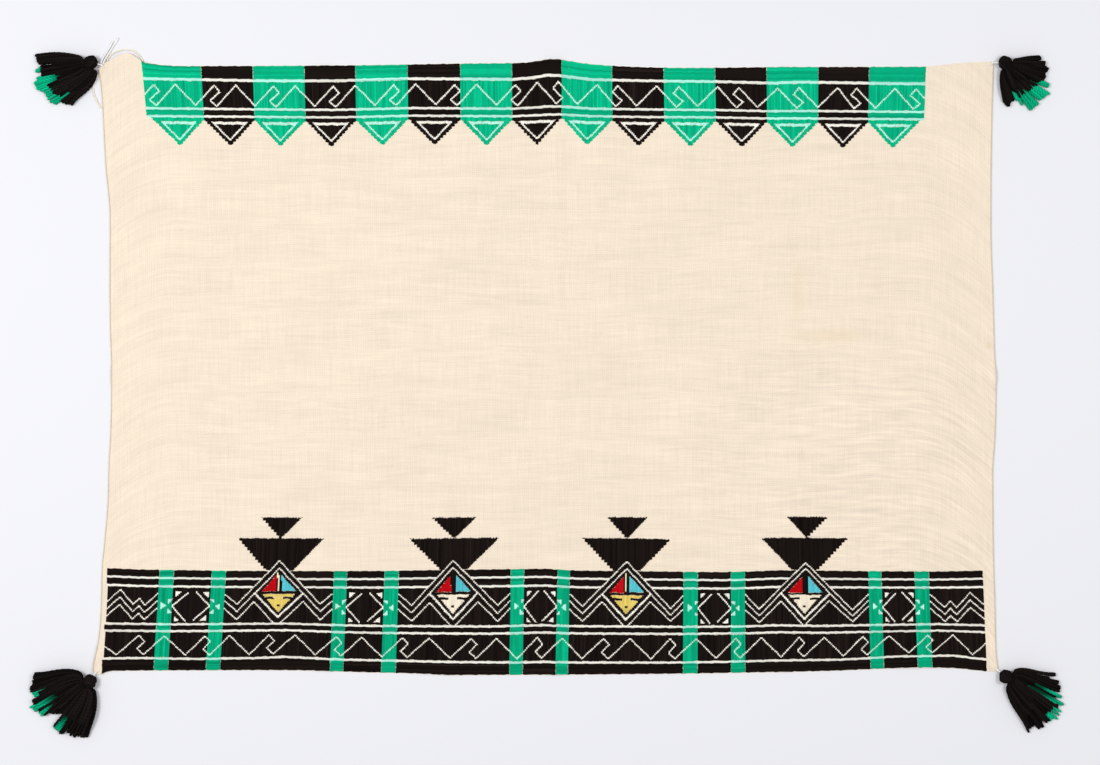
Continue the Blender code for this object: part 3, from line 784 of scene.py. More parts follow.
TOP_RISE[0.0] = edge_rise("top", TOP_LINE)
BOTTOM_RISE[BOTTOM_DEEP] = edge_rise("bottom", BOTTOM_LINE - BOTTOM_DEEP)
BORDERS = {
    "top": (TOP_LINE, TOP_MIDDLE, TOP_RISE, TOP_LEAN),
    "bottom": (BOTTOM_LINE, BOTTOM_MIDDLE, BOTTOM_RISE, BOTTOM_LEAN),
}


def on_cloth(border, across, down):
    """A place in a border as x and y on the cloth: leaned over by its depth, and lifted with its row."""
    line, middle, rises, leans = BORDERS[border]
    levels = sorted(rises)
    x = across + np.interp(across, *np.transpose(leans)) * (down - middle)
    y = line - down
    for k, level in enumerate(levels):
        weight = np.interp(down, levels, np.eye(len(levels))[k])
        y = y + weight * np.interp(x, *np.transpose(rises[level]))
    return x, y


def unleaned(border, corners):
    """Corners measured on the cloth, with the lean of the yarns taken off, as the patterns need them."""
    _, middle, _, lean = BORDERS[border]
    return [(x - float(np.interp(x, *np.transpose(lean))) * (down - middle), down) for x, down in corners]


# %% [markdown]
# The cotton's finish adds to the weave what years have done to it: a faint yellowed patch at the right, a
# small brown mark near the edge and a few specks of plant stalk that were spun in.

# %% Cotton material
COTTON = (0.940, 0.806, 0.642)
STAIN = (0.86, 0.70, 0.46)
# (x, y, half wide, half high, strength) in mm
STAINS = (
    (412, 165, 12, 55, 0.30),
    (470, 98, 70, 16, 0.34),
    (725, 82, 5, 7, 0.6),
)
SPECK = (0.45, 0.33, 0.20)

COTTON_FINISH, shader, tree = new_finish("cotton_ground", 0.95, sheen=0.1, specular=0.1)
made = place_group(tree, weave_group, Colour=(*COTTON, 1.0), Square=0.0033, Contrast=0.22)
colour = made.outputs["Colour"]
split = tree.nodes.new("ShaderNodeSeparateXYZ")
tree.links.new(object_place(tree), split.inputs[0])
edges_of_stain = noise(tree, object_place(tree), 28.0, 3.0)
for x, y, half_wide, half_high, strength in STAINS:
    off_x, off_y = (calculate(tree, "DIVIDE", calculate(tree, "SUBTRACT", split.outputs[k],
                                                        (at + SHIFT[k]) * MM), half * MM)
                    for k, (at, half) in enumerate(((x, half_wide), (y, half_high))))
    off = calculate(tree, "SQRT", calculate(tree, "ADD", calculate(tree, "MULTIPLY", off_x, off_x),
                                            calculate(tree, "MULTIPLY", off_y, off_y)))
    off = calculate(tree, "ADD", off, calculate(tree, "MULTIPLY", edges_of_stain, 0.8))
    colour = blended(tree, ranged(tree, off, 0.6, 1.7, strength, 0.0), colour, (*STAIN, 1.0))
grains = tree.nodes.new("ShaderNodeTexVoronoi")
tree.links.new(object_place(tree), grains.inputs["Vector"])
grains.inputs["Scale"].default_value = 34.0
colour = blended(tree, ranged(tree, grains.outputs["Distance"], 0.018, 0.03, 0.4, 0.0), colour, (*SPECK, 1.0))
tree.links.new(colour, shader.inputs["Base Color"])
raise_surface(tree, shader, made.outputs["Height"], 0.0004)

SELVAGE_COTTON, shader, tree = new_finish("cotton_selvage", 0.95, specular=0.1)
twist(tree, shader, (0.80, 0.69, 0.55), 6.5, 0.35, 0.3, 0.0004)

# %% Cloth sheet
CLOTH_COLUMNS = 232
CLOTH_ROWS = 158
SHEET_THICK = GROUND_THICK


def cloth_grid(u, v):
    """x and y of the sheet: the four edges blended, less the corners that both pairs count."""
    top, bottom = edge("top", u), edge("bottom", u)
    left, right = edge("left", v), edge("right", v)
    uu, vv = u[None, :, None], v[:, None, None]
    flat = ((1 - vv) * bottom[None] + vv * top[None] + (1 - uu) * left[:, None] + uu * right[:, None]
            - (1 - uu) * (1 - vv) * bottom[0] - uu * (1 - vv) * bottom[-1]
            - (1 - uu) * vv * top[0] - uu * vv * top[-1])
    return flat[..., 0], flat[..., 1]


x, y = cloth_grid(np.linspace(0, 1, CLOTH_COLUMNS), np.linspace(0, 1, CLOTH_ROWS))
face = cotton_top(x, y)
index = np.arange(x.size).reshape(x.shape)
cells = np.stack([index[:-1, :-1], index[:-1, 1:], index[1:, 1:], index[1:, :-1]], -1).reshape(-1, 4)
rim = np.concatenate([index[0, :-1], index[:-1, -1], index[-1, :0:-1], index[:0:-1, 0]])
after = np.roll(rim, -1)
walls = np.stack([rim, rim + x.size, after + x.size, after], -1)
points = np.concatenate([np.stack([x, y, face], -1).reshape(-1, 3),
                         np.stack([x, y, face - SHEET_THICK], -1).reshape(-1, 3)])
faces = [cells, cells[:, ::-1] + x.size, walls]
cloth = make_piece("cloth_sheet", points, faces, COTTON_FINISH, ("cloth",))

# %% [markdown]
# The two short edges are selvages: the outermost threads turn back round a twined pair of heavier ones, which
# makes a firm, slightly beaded edge.

# %% Selvage cords
SELVAGE_RADIUS = 0.9
for name, inward in (("left", 1), ("right", -1)):
    outline = edge(name, np.linspace(0.004, 0.996, 420))
    outline[:, 0] += inward * SELVAGE_RADIUS
    height = cotton_top(outline[:, 0], outline[:, 1])
    path = np.concatenate([outline, height[:, None]], -1)
    points, faces, yarn = tubes(path[None], np.full((1, len(path)), SELVAGE_RADIUS), sides=8, plies=2,
                                depth=0.2, pitch=6.5, tone=0.95)
    make_piece(f"selvage_{name}", points, faces, SELVAGE_COTTON, (), yarn)

# %% [markdown]
# ## What the borders show
# Wool covers the cotton wherever there is colour, and every pale line is cotton thread that comes up between
# two rows of wool. Those threads are painted brighter than the cloth, as painted light, and beside green
# wool they are painted minty, as a painted reflection of the green wool. So a pattern is a rule that says,
# for any place in a border, which wool or cotton is on top there. It is worked out for whole arrays of
# places: a place near a line is cotton, and a place inside a triangle takes the triangle's wool.

# %% Pattern helpers
EMPTY, BLACK, GREEN, RED, TURQUOISE, YELLOW, CREAM, UNDYED, LIT_COTTON, GREEN_REFLECTED_COTTON = range(10)
CODES = {"black": BLACK, "green": GREEN, "red": RED, "turquoise": TURQUOISE, "yellow": YELLOW,
         "cream": CREAM, "undyed": UNDYED, "pale": LIT_COTTON, "mint": GREEN_REFLECTED_COTTON}


def distance_to(across, down, corners):
    """Distance from each place to a line through corners: the least over its straight parts."""
    best = np.full(np.broadcast(across, down).shape, np.inf)
    for (from_a, from_d), (to_a, to_d) in zip(corners[:-1], corners[1:]):
        run_a, run_d = to_a - from_a, to_d - from_d
        share = ((across - from_a) * run_a + (down - from_d) * run_d) / (run_a**2 + run_d**2)
        share = np.clip(share, 0, 1)
        best = np.minimum(best, np.hypot(across - from_a - share * run_a, down - from_d - share * run_d))
    return best


def inside(across, down, corners):
    """True within a convex shape whose corners go round it either way."""
    signs = []
    for (from_a, from_d), (to_a, to_d) in zip(corners, corners[1:] + corners[:1]):
        signs.append((to_a - from_a) * (down - from_d) - (to_d - from_d) * (across - from_a))
    signs = np.array(signs)
    return np.all(signs >= 0, axis=0) | np.all(signs <= 0, axis=0)


def moved(corners, by, stretch=1.0):
    """Corners stretched along the border and moved along it."""
    return [(a * stretch + by, d) for a, d in corners]


def cotton_beside(wool):
    """Cotton beside a wool: minty by green, a painted reflection; pale by any other, as painted light."""
    return np.where(wool == GREEN, GREEN_REFLECTED_COTTON, LIT_COTTON)


# %% [markdown]
# ### The narrow border
# Fifteen blocks, green and black in turn, run under one hooked line and end in pennants. Each pennant holds
# the outline of a smaller triangle. The hooked line turns over in the middle, so both halves lean inwards.

# %% Pattern of the narrow border
HOOK_LINE = 1.08
TOP_HOOK = ((0, 64.7), (30.7, 32.7), (39.8, 43.5), (24.0, 56.8), (34.8, 66.0), (66.2, 32.0))
TOP_VALLEYS_LEFT = (-676.8, -577.4, -479.8, -381.5, -282.6, -182.6, -83.2)
TOP_VALLEYS_RIGHT = (49.4, 147.0, 247.0, 345.4, 444.3, 538.6, 636.0)
PENNANT_SHOULDER = 88.0
PENNANT_POINT = 131.0
INNER_TOP = 91.2
INNER_BASE = 95.6
INNER_POINT = 123.0
INNER_HALF = 30.5
INNER_WALL = 3.4
# From a valley on the right to the peak that follows it
PEAK_AFTER = 32.6


def top_hooks():
    """The hooked line: one hook after each valley on the left, and their mirror image on the right."""
    corners = []
    for valley in TOP_VALLEYS_LEFT:
        corners += moved(TOP_HOOK, valley)
    for valley in TOP_VALLEYS_RIGHT:
        corners += [(valley - a, d) for a, d in reversed(TOP_HOOK[:-1])]
        corners.append((valley + TOP_HOOK[0][0] + PEAK_AFTER, TOP_HOOK[-1][1]))
    return unleaned("top", corners)


def top_pattern(across, down, paired):
    """Which wool is where in the narrow border. paired is across at the middle of each pair of yarns."""
    block = np.clip(np.searchsorted(TOP_BLOCKS, across, side="right") - 1, 0, len(TOP_BLOCKS) - 2)
    wool = np.where(block % 2, BLACK, GREEN)
    cotton = cotton_beside(wool)
    low = np.array(TOP_BLOCKS)[block]
    high = np.array(TOP_BLOCKS)[block + 1]
    low = np.where(block == 0, low + EAR, low)
    high = np.where(block == len(TOP_BLOCKS) - 2, high - EAR, high)
    middle, half = (low + high) / 2, (high - low) / 2
    wool = np.where(distance_to(across, down, top_hooks()) < HOOK_LINE, cotton, wool)
    off = np.abs(np.where(wool == BLACK, 0.4 * across + 0.6 * paired, 0.6 * across + 0.4 * paired) - middle)
    outer = PENNANT_POINT - (PENNANT_POINT - PENNANT_SHOULDER) * off / half
    beyond = (down > TOP_BANDS[3][0]) & (down > outer)
    off = np.abs(across - middle)
    room = INNER_HALF * (INNER_POINT - down) / (INNER_POINT - INNER_TOP)
    outline = (down > INNER_TOP) & (off < room) & ~((down > INNER_BASE) & (off < room - INNER_WALL))
    wool = np.where(outline, cotton, wool)
    return np.where(beyond | ((down > PENNANT_SHOULDER) & (off > half)), EMPTY, wool)


# %% [markdown]
# ### The deep border
# Five pairs of green stripes cross a black ground. Zigzags rise between the pairs to a point that breaks
# through the two upper rows, and a diamond of red, turquoise and pale triangles sits under each point. Over
# it stand two stepped triangles. A hooked line runs below. The shapes are laid down one over another, as the
# embroiderer counts them out from the middle of each field.

# %% Pattern of the deep border
FINE_LINE = 0.86
BOLD_LINE = 1.5
SQUARE_LINE = 1.05
DEEP_HOOK_LINE = 0.89
HOOK_HIGH = 108.6
HOOK_LOW = 140.4
# Width of the hook that BOTTOM_HOOK gives, and how far along the first peak stands from its valley
HOOK_WIDE = 107.4
FIRST_PEAK = 70.0
BOTTOM_HOOK = ((0.0, 1.0), (33.3, 0.0), (42.1, 0.31), (30.2, 0.69), (40.7, 1.0), (74.7, 0.0))
# Valleys of the hooked line, each with how far the hook after it is moved along
BOTTOM_VALLEYS = (
    (-707.3, 2.0), (-594.3, 0.0), (-489.5, -1.3), (-380.7, 0.8), (-271.7, -0.6), (-159.6, 0.8), (-49.8, 0.3),
    (57.3, 0.0), (170.3, -1.3), (277.4, -0.8), (383.7, -1.6), (486.7, -1.3), (593.2, -1.3), (698.3, 0.0),
    (806.0, 0.0),
)
# A zigzag's point lies this far left of the diamond's middle, and the lowest line's feet are this deep
POINT_ASIDE = 0.2
FOOT_DOWN = 88.5
# How deep the bold sides are at the left, at the bottom and at the right
BOLD_DEPTHS = (38.8, 78.6, 39.0)
STEP_FOOT = 1.1
STEP_JOIN = 0.9
STEP_TOOTH = 0.5
RED_CORNER = [(-29.3, 35.8), (-5.0, 35.8), (-5.0, 8.8)]
TURQUOISE_CORNER = [(3.8, 8.4), (3.8, 35.0), (27.5, 35.0)]
UPRIGHT_BAR = [(-2.8, 4.0), (-0.4, 4.0), (-0.4, 35.2), (-2.8, 35.2)]
LEVEL_BAR = [(-28.0, 39.6), (25.6, 39.6), (21.8, 44.4), (-24.0, 44.4)]
LOWER_HALF = [(-24.0, 44.4), (21.4, 44.4), (-2.0, 70.4)]
DASHES = (
    [(-25.0, 44.2), (-9.2, 44.2), (-9.2, 47.8), (-25.0, 47.8)],
    [(5.8, 44.2), (20.6, 44.2), (20.6, 47.8), (5.8, 47.8)],
    [(-4.6, 56.8), (0.4, 56.8), (0.4, 60.2), (-4.6, 60.2)],
)
# The open diamond between two stripes: its sides, then the bare triangles round it
SQUARE_SIDES = (
    [(-4.9, 36.8), (-30.7, 59.8), (-8.0, 84.3)],
    [(7.1, 35.6), (30.9, 59.8), (5.1, 82.5)],
)
SQUARE_CORNERS = (
    [(-26.3, 35.8), (-16.3, 35.8), (-26.3, 45.4)],
    [(18.2, 36.2), (27.9, 36.2), (27.9, 45.6)],
    [(-26.6, 75.1), (-26.6, 83.9), (-18.0, 83.9)],
    [(25.8, 75.1), (25.8, 83.9), (15.1, 83.9)],
    [(-37.0, 47.8), (-29.1, 47.8), (-37.0, 55.8)],
    [(-37.6, 63.7), (-37.6, 71.7), (-29.6, 71.7)],
    [(29.6, 48.2), (38.8, 48.2), (38.8, 55.6)],
    [(38.2, 64.2), (38.2, 72.0), (29.6, 72.0)],
    [(-49.4, 52.5), (-49.4, 65.0), (-40.4, 58.8)],
    [(39.4, 59.9), (47.6, 54.6), (47.6, 66.0)],
)
SQUARE_INNER = 30.9
# The short zigzag of each end field, then how far down its two repeats are
LEFT_END = ((-723.0, 53.0), (-703.2, 34.5), (-681.4, 57.5), (-671.0, 47.8), (-661.8, 58.8), (-639.5, 37.0))
RIGHT_END = ((628.6, 37.6), (653.3, 60.8), (662.9, 50.4), (673.0, 60.8), (695.8, 36.5), (720.2, 57.5))
END_REPEATS = (0.0, 12.0, 24.0)


def bottom_hooks():
    """The hooked line of the deep border: a hook after each valley, as wide as that valley's own step."""
    corners = []
    for (valley, shift), (following, _) in zip(BOTTOM_VALLEYS[:-1], BOTTOM_VALLEYS[1:]):
        stretch = (following - valley) / HOOK_WIDE
        corners += [(valley + a * stretch + (shift if 0 < k < len(BOTTOM_HOOK) - 1 else 0),
                     HOOK_HIGH + d * (HOOK_LOW - HOOK_HIGH)) for k, (a, d) in enumerate(BOTTOM_HOOK)]
    first = (2 * BOTTOM_VALLEYS[0][0] - BOTTOM_VALLEYS[1][0] + FIRST_PEAK, HOOK_HIGH)
    return unleaned("bottom", [first] + corners)


def zigzags(number):
    """The lines round one diamond, as (corners, half thickness). They reach to the stripes on either side."""
    middle = DIAMONDS[number][0]
    left, right = STRIPE_PAIRS[number][3], STRIPE_PAIRS[number + 1][0]
    left_turn, right_turn, outer, inner, lowest = ZIGZAGS[number]
    left_turn, right_turn = middle + left_turn, middle + right_turn
    from_left, from_right = MEETINGS[number]
    left_peak, left_depth, left_foot, right_foot, right_peak, right_depth = UNDER[number]
    lines = [([(left, start), (left_turn, at_left), (middle - POINT_ASIDE, at_point), (right_turn, at_right),
               (right, end)], FINE_LINE)
             for (at_left, at_point, at_right), start, end in zip((outer, inner), from_left, from_right)]
    lines += [
        ([(left, from_left[2]), (left_turn, lowest[0]), (middle + left_peak, left_depth),
          (middle + left_foot, FOOT_DOWN)], FINE_LINE),
        ([(middle + right_foot, FOOT_DOWN), (middle + right_peak, right_depth), (right_turn, lowest[1]),
          (right, from_right[2])], FINE_LINE),
        ([(middle + a, d) for a, d in zip(BOLD_SIDES[number], BOLD_DEPTHS)], BOLD_LINE),
    ]
    return [(unleaned("bottom", corners), half) for corners, half in lines]


def stripe_sides():
    """Places along the deep border where the wool changes between black and green."""
    return [side for pair in STRIPE_PAIRS for side in pair]


def over_point(across, down):
    """True inside the point of a zigzag, where it breaks through the upper rows."""
    found = np.zeros(np.broadcast(across, down).shape, bool)
    for number in range(len(DIAMONDS)):
        found |= inside(across, down, zigzags(number)[0][0][1:4])
    return found


def ground_wool(across):
    """Green in the stripes, black between them."""
    side = np.searchsorted(stripe_sides(), across)
    return np.where(side % 2, GREEN, BLACK)


def bottom_pattern(across, down, paired):
    """Which wool is where in the deep border's upright yarns."""
    wool = ground_wool(across)
    cotton = cotton_beside(wool)
    wool = np.where(distance_to(across, down, bottom_hooks()) < DEEP_HOOK_LINE, cotton, wool)
    for line in (LEFT_END, RIGHT_END):
        for lower in END_REPEATS:
            near = distance_to(across, down, [(a, d + lower) for a, d in line]) < FINE_LINE
            wool = np.where(near & (wool == BLACK) & (down < BOTTOM_BANDS[2][1]), LIT_COTTON, wool)
    for _, low, high, _ in STRIPE_PAIRS:
        middle, stretch = (low + high) / 2, (high - low) / 2 / SQUARE_INNER
        for side in SQUARE_SIDES:
            near = distance_to(across, down, moved(side, middle, stretch)) < SQUARE_LINE
            wool = np.where(near, cotton, wool)
        for corner in SQUARE_CORNERS:
            wool = np.where(inside(across, down, moved(corner, middle, stretch)), cotton, wool)
    above = down < 0
    stepped = 0.5 * across + 0.5 * paired
    toothed = down + np.where(np.round(across / YARN_PITCH) % 2, STEP_TOOTH, -STEP_TOOTH)
    wool = np.where(above, EMPTY, wool)
    for (middle, *_), (small, large) in zip(DIAMONDS, STEPS):
        left, right, tip, top = small
        small_corners = [(left, top), (right, top), (tip, large[4] + STEP_JOIN)]
        left, right, left_foot, right_foot, top = large
        large_corners = [(left, top), (right, top), (right_foot, STEP_FOOT), (left_foot, STEP_FOOT)]
        for corners in (small_corners, large_corners):
            corners = unleaned("bottom", moved(corners, middle))
            wool = np.where(above & inside(stepped, toothed, corners), BLACK, wool)
    point = over_point(across, down)
    wool = np.where(point & (down < BOTTOM_BANDS[2][0]), BLACK, wool)
    lined = np.zeros(np.broadcast(across, down).shape, bool)
    for number, (middle, lower, bar, aside, lowered) in enumerate(DIAMONDS):
        for corners, shade, share in ((RED_CORNER, RED, 1.0), (TURQUOISE_CORNER, TURQUOISE, 1.0),
                                      (UPRIGHT_BAR, CODES[bar], 1.0), (LEVEL_BAR, CODES[lower], 0.4),
                                      (LOWER_HALF, CODES[lower], 0.0)):
            corners = [(a, d + share * lowered) for a, d in moved(corners, middle + aside)]
            wool = np.where(inside(across, down, unleaned("bottom", corners)), shade, wool)
        for dash in DASHES:
            within = inside(across, down, unleaned("bottom", moved(dash, middle + aside)))
            wool = np.where(within, BLACK, wool)
        for corners, half in zigzags(number):
            lined |= distance_to(across, down, corners) < half
    lined &= ground_wool(across) == BLACK
    wool = np.where(lined, LIT_COTTON, wool)
    upright = np.zeros(lined.shape, bool)
    for low, high, way in BOTTOM_BANDS:
        if way == "upright":
            upright |= (down > low) & (down < high)
    return np.where(upright | above | point | (lined & (down < BOTTOM_BANDS[2][0])), wool, EMPTY)


# %% [markdown]
# ## Laying the wool
# Every yarn is laid as a row of runs: where the pattern keeps one colour, the yarn lies on the face, and
# where it changes, the run dips to the back. Yarns lie in pairs, with a slightly wider gap between pairs. A
# run is a low rounded ridge that narrows where it enters the cloth. Thousands of them are built at once from
# arrays of where they start and end.

# %% Runs of wool
YARN_PITCH = 2.35
PAIR_DRAWN = 0.07
OVERLAP = 0.16
FINE_STEP = 0.35
RUN_STEP = 5.0
RUN_TIP = 0.7
RUN_LEAST = 0.9
BEATEN = 0.6
# The most of a run that a tip takes, the least room between a tip and a station, and a tip's width and height
TIP_SHARE = 0.3
STATION_ROOM = 0.3
TIP_WIDE = 0.55
TIP_HIGH = 0.45
SUNK = -0.1
RUN_SHAPE = ((-1.0, -0.12), (-0.52, 0.92), (0.52, 0.92), (1.0, -0.12))
luck = np.random.default_rng(7)


def yarn_places(low, high):
    """Middles of the yarns between two sides: an even number of them, drawn together in pairs.

    A yarn is half as wide as its share, and a little more, so that no cotton shows between yarns."""
    pairs = max(int(round((high - low) / YARN_PITCH / 2)), 1)
    pitch = (high - low) / pairs
    middles = low + pitch * (np.arange(pairs) + 0.5)
    apart = pitch / 4 - PAIR_DRAWN
    places = np.stack([middles - apart, middles + apart], -1).ravel()
    return places, np.repeat(middles, 2), np.full(len(places), pitch / 4 + PAIR_DRAWN + OVERLAP)


def read_runs(wool, start, step):
    """Runs of one colour along each row of an array of wool codes, as (row, from, to, code)."""
    padded = np.pad(wool, ((0, 0), (1, 1)), constant_values=EMPTY)
    row, at = np.nonzero(padded[:, 1:] != padded[:, :-1])
    code = padded[row, at + 1]
    same = row[:-1] == row[1:]
    begin, end = at[:-1][same], at[1:][same]
    row, code = row[:-1][same], code[:-1][same]
    kept = code != EMPTY
    return row[kept], start + begin[kept] * step, start + end[kept] * step, code[kept]


def ridges(border, way, place, half, begin, end, tone, height):
    """The mesh of many runs. Stations along each run carry a section of four points.

    There is one at each end, one a tip's length in from it, and one wherever the run passes a whole number of
    steps, so that neighbours bend at the same places and no gap opens between them. The section is narrowed
    and lowered at the tips, and the whole stands on the face of the cotton."""
    tip_length = np.minimum(RUN_TIP, (end - begin) * TIP_SHARE)
    first_step = np.ceil((begin + tip_length + STATION_ROOM) / RUN_STEP).astype(int)
    last_step = np.floor((end - tip_length - STATION_ROOM) / RUN_STEP).astype(int)
    stations = np.maximum(last_step - first_step + 1, 0) + 4
    run = np.repeat(np.arange(len(place)), stations)
    first = np.cumsum(stations) - stations
    k = np.arange(len(run)) - first[run]
    last = stations[run] - 1
    tip = (k == 0) | (k == last)
    along = (first_step[run] + k - 2.0) * RUN_STEP
    for at, value in ((k == 0, begin), (k == 1, begin + tip_length), (k == last - 1, end - tip_length),
                      (k == last, end)):
        along = np.where(at, value[run], along)
    size = np.where(tip, TIP_WIDE, 1.0)
    shape = np.array(RUN_SHAPE if way == "upright" else RUN_SHAPE[::-1])
    across = place[run, None] + size[:, None] * half[run, None] * shape[:, 0]
    along = np.broadcast_to(along[:, None], across.shape)
    if way == "upright":
        x, y = on_cloth(border, across, along)
    else:
        x, y = on_cloth(border, along, across)
    y = y + BEATEN * np.sin(x / 3.1 + along / 11) * np.sin(x / 8.3)
    low = np.where(tip, TIP_HIGH, 1.0)[:, None]
    rise = np.where(shape[:, 1] > 0, shape[:, 1] * height[run, None] * low, SUNK)
    z = cotton_top(x, y) + rise
    points = np.stack([x, y, z], -1).reshape(-1, 3)
    index = np.arange(len(run) * 4).reshape(-1, 4)
    going = index[k < last]
    after = going + 4
    turned = [1, 2, 3, 0]
    skin = np.stack([going, going[:, turned], after[:, turned], after], -1).reshape(-1, 4)
    caps = np.concatenate([index[k == 0][:, ::-1], index[k == last]])
    strand = np.stack([np.broadcast_to((shape[:, 0] + 1) / 2, across.shape),
                       along + luck.uniform(0, 60, len(place))[run, None],
                       np.broadcast_to(tone[run, None], across.shape)], -1).reshape(-1, 3)
    return points, [skin, caps], strand


# %% [markdown]
# Each band of a border is filled in its own way. In an upright band the yarns stand between the sides of a
# block or a stripe, so that no yarn straddles two colours. In a level band the yarns run along the cloth and
# change colour where they pass into a green block, and they stop short of a zigzag's point. Upright yarns of
# a colour make a piece named yarn, and level ones a piece named rows.

# %% Fill the bands
WOOL_HIGH = 0.95
COTTON_HIGH = 0.9
# Level rows are painted this much darker, as painted shade: lying along the light, they catch less of it
LEVEL_ROW_SHADE = 0.93
END_CHANCE = 0.42
# How much the shade of a run varies, for black, for green and for any other wool
SHADE_CHANCE = {BLACK: 0.26, GREEN: 0.12}
OTHER_CHANCE = 0.07
HEIGHT_CHANCE = (0.86, 1.08)
# The stripes of the deep border are a darker lot of green wool
DEEP_GREEN = 0.83
WAY_NAMES = {"upright": "yarn", "level": "rows"}
bundles = {}


def lay(border, way, place, half, begin, end, code, tone):
    """Add runs to their colour's bundle, each with a little chance in its ends, height and shade."""
    long_enough = end - begin > RUN_LEAST
    for number in np.unique(code[long_enough]):
        chosen = long_enough & (code == number)
        count = int(chosen.sum())
        jitter = luck.uniform(-END_CHANCE, END_CHANCE, (2, count))
        shade = tone * np.exp(luck.normal(0.0, SHADE_CHANCE.get(int(number), OTHER_CHANCE), count))
        if (border, number) == ("bottom", GREEN):
            shade *= DEEP_GREEN
        tall = (COTTON_HIGH if number in (LIT_COTTON, GREEN_REFLECTED_COTTON) else WOOL_HIGH) * luck.uniform(*HEIGHT_CHANCE, count)
        made = ridges(border, way, place[chosen], half[chosen], begin[chosen] + jitter[0],
                      end[chosen] + jitter[1], shade, tall)
        bundles.setdefault((border, WAY_NAMES[way], int(number)), []).append(made)


def fill_upright(border, pattern, low, high, from_down, to_down, tone=1.0):
    """Upright yarns between two sides, read from the pattern at each yarn's middle."""
    place, paired, half = yarn_places(low, high)
    down = np.arange(from_down, to_down, FINE_STEP)
    wool = pattern(place[:, None], down[None, :], paired[:, None])
    row, begin, end, code = read_runs(wool, from_down - FINE_STEP / 2, FINE_STEP)
    lay(border, "upright", place[row], half[row], begin, end, code, tone)


def fill_level(border, colour_at, low, high, from_down, to_down):
    """Level yarns between two rows, read along the border."""
    place, _, half = yarn_places(from_down, to_down)
    across = np.arange(low, high, FINE_STEP)
    wool = colour_at(across[None, :], place[:, None])
    row, begin, end, code = read_runs(wool, low - FINE_STEP / 2, FINE_STEP)
    lay(border, "level", place[row], half[row], begin, end, code, LEVEL_ROW_SHADE)


def top_level_wool(across, down):
    """Wool of the narrow border's level rows."""
    block = np.clip(np.searchsorted(TOP_BLOCKS, across, side="right") - 1, 0, len(TOP_BLOCKS) - 2)
    return np.broadcast_to(np.where(block % 2, BLACK, GREEN), np.broadcast(across, down).shape)


def bottom_level_wool(across, down):
    """Wool of the deep border's level rows, which a zigzag's point interrupts."""
    wool = np.broadcast_to(ground_wool(across), np.broadcast(across, down).shape)
    near = np.zeros(wool.shape, bool)
    for number in range(len(DIAMONDS)):
        near |= distance_to(across, down, zigzags(number)[0][0]) < FINE_LINE
    return np.where(over_point(across, down) | near, EMPTY, wool)


def cotton_rows(level_wool):
    """The rule for the cotton rows between bands: what comes up beside each wool of the level rows."""
    def rule(across, down):
        wool = level_wool(across, down)
        return np.where(wool == EMPTY, EMPTY, cotton_beside(wool))
    return rule


for low, high in zip(TOP_BLOCKS[:-1], TOP_BLOCKS[1:]):
    for from_down, to_down, way in TOP_BANDS:
        if way == "upright":
            fill_upright("top", top_pattern, low, high, from_down, to_down)
sides = [BOTTOM_ENDS[0]] + stripe_sides() + [BOTTOM_ENDS[1]]
top_of_steps = min(small[3] for small, _ in STEPS)
for low, high in zip([sides[0] + UPRIGHT_SHORT] + sides[1:-1], sides[1:]):
    fill_upright("bottom", bottom_pattern, low, high, top_of_steps - 2, BOTTOM_BANDS[4][1])
for border, bands, rule, ends in (("top", TOP_BANDS, top_level_wool, (TOP_BLOCKS[0], TOP_BLOCKS[-1])),
                                  ("bottom", BOTTOM_BANDS, bottom_level_wool, BOTTOM_ENDS)):
    for from_down, to_down, way in bands:
        if way == "level":
            fill_level(border, rule, *ends, from_down, to_down)
    for (_, above, _), (below, _, _) in zip(bands[:-1], bands[1:]):
        fill_level(border, cotton_rows(rule), *ends, above, below)

names = {code: name for name, code in CODES.items()}
for (border, kind, code), parts in sorted(bundles.items()):
    points, faces, yarn = joined(parts)
    make_piece(f"{names[code]}_{kind}_{border}", points, faces, WOOL[names[code]],
                                 yarn=yarn)

# %% [markdown]
# ## The tassels
# A tassel is a bunch of thick wool yarns folded over a tie and bound under the fold, which makes a round,
# lumpy head. The yarns spread from the neck, bulge, draw in again and lie on the floor. Black ones cover the
# top, and green ones come out from under them. Each lock is one row: its wool, the headings and reaches
# between which it fans out, how many yarns lie side by side and how many deep, and the layer it starts on.

# %% Locks of the four tassels
HEAD_RADIUS = 11.2
HEAD_TALL = 9.6
TASSEL_YARN = 2.25
NECK_REACH = 11.0
NECK_HALF = 5.8
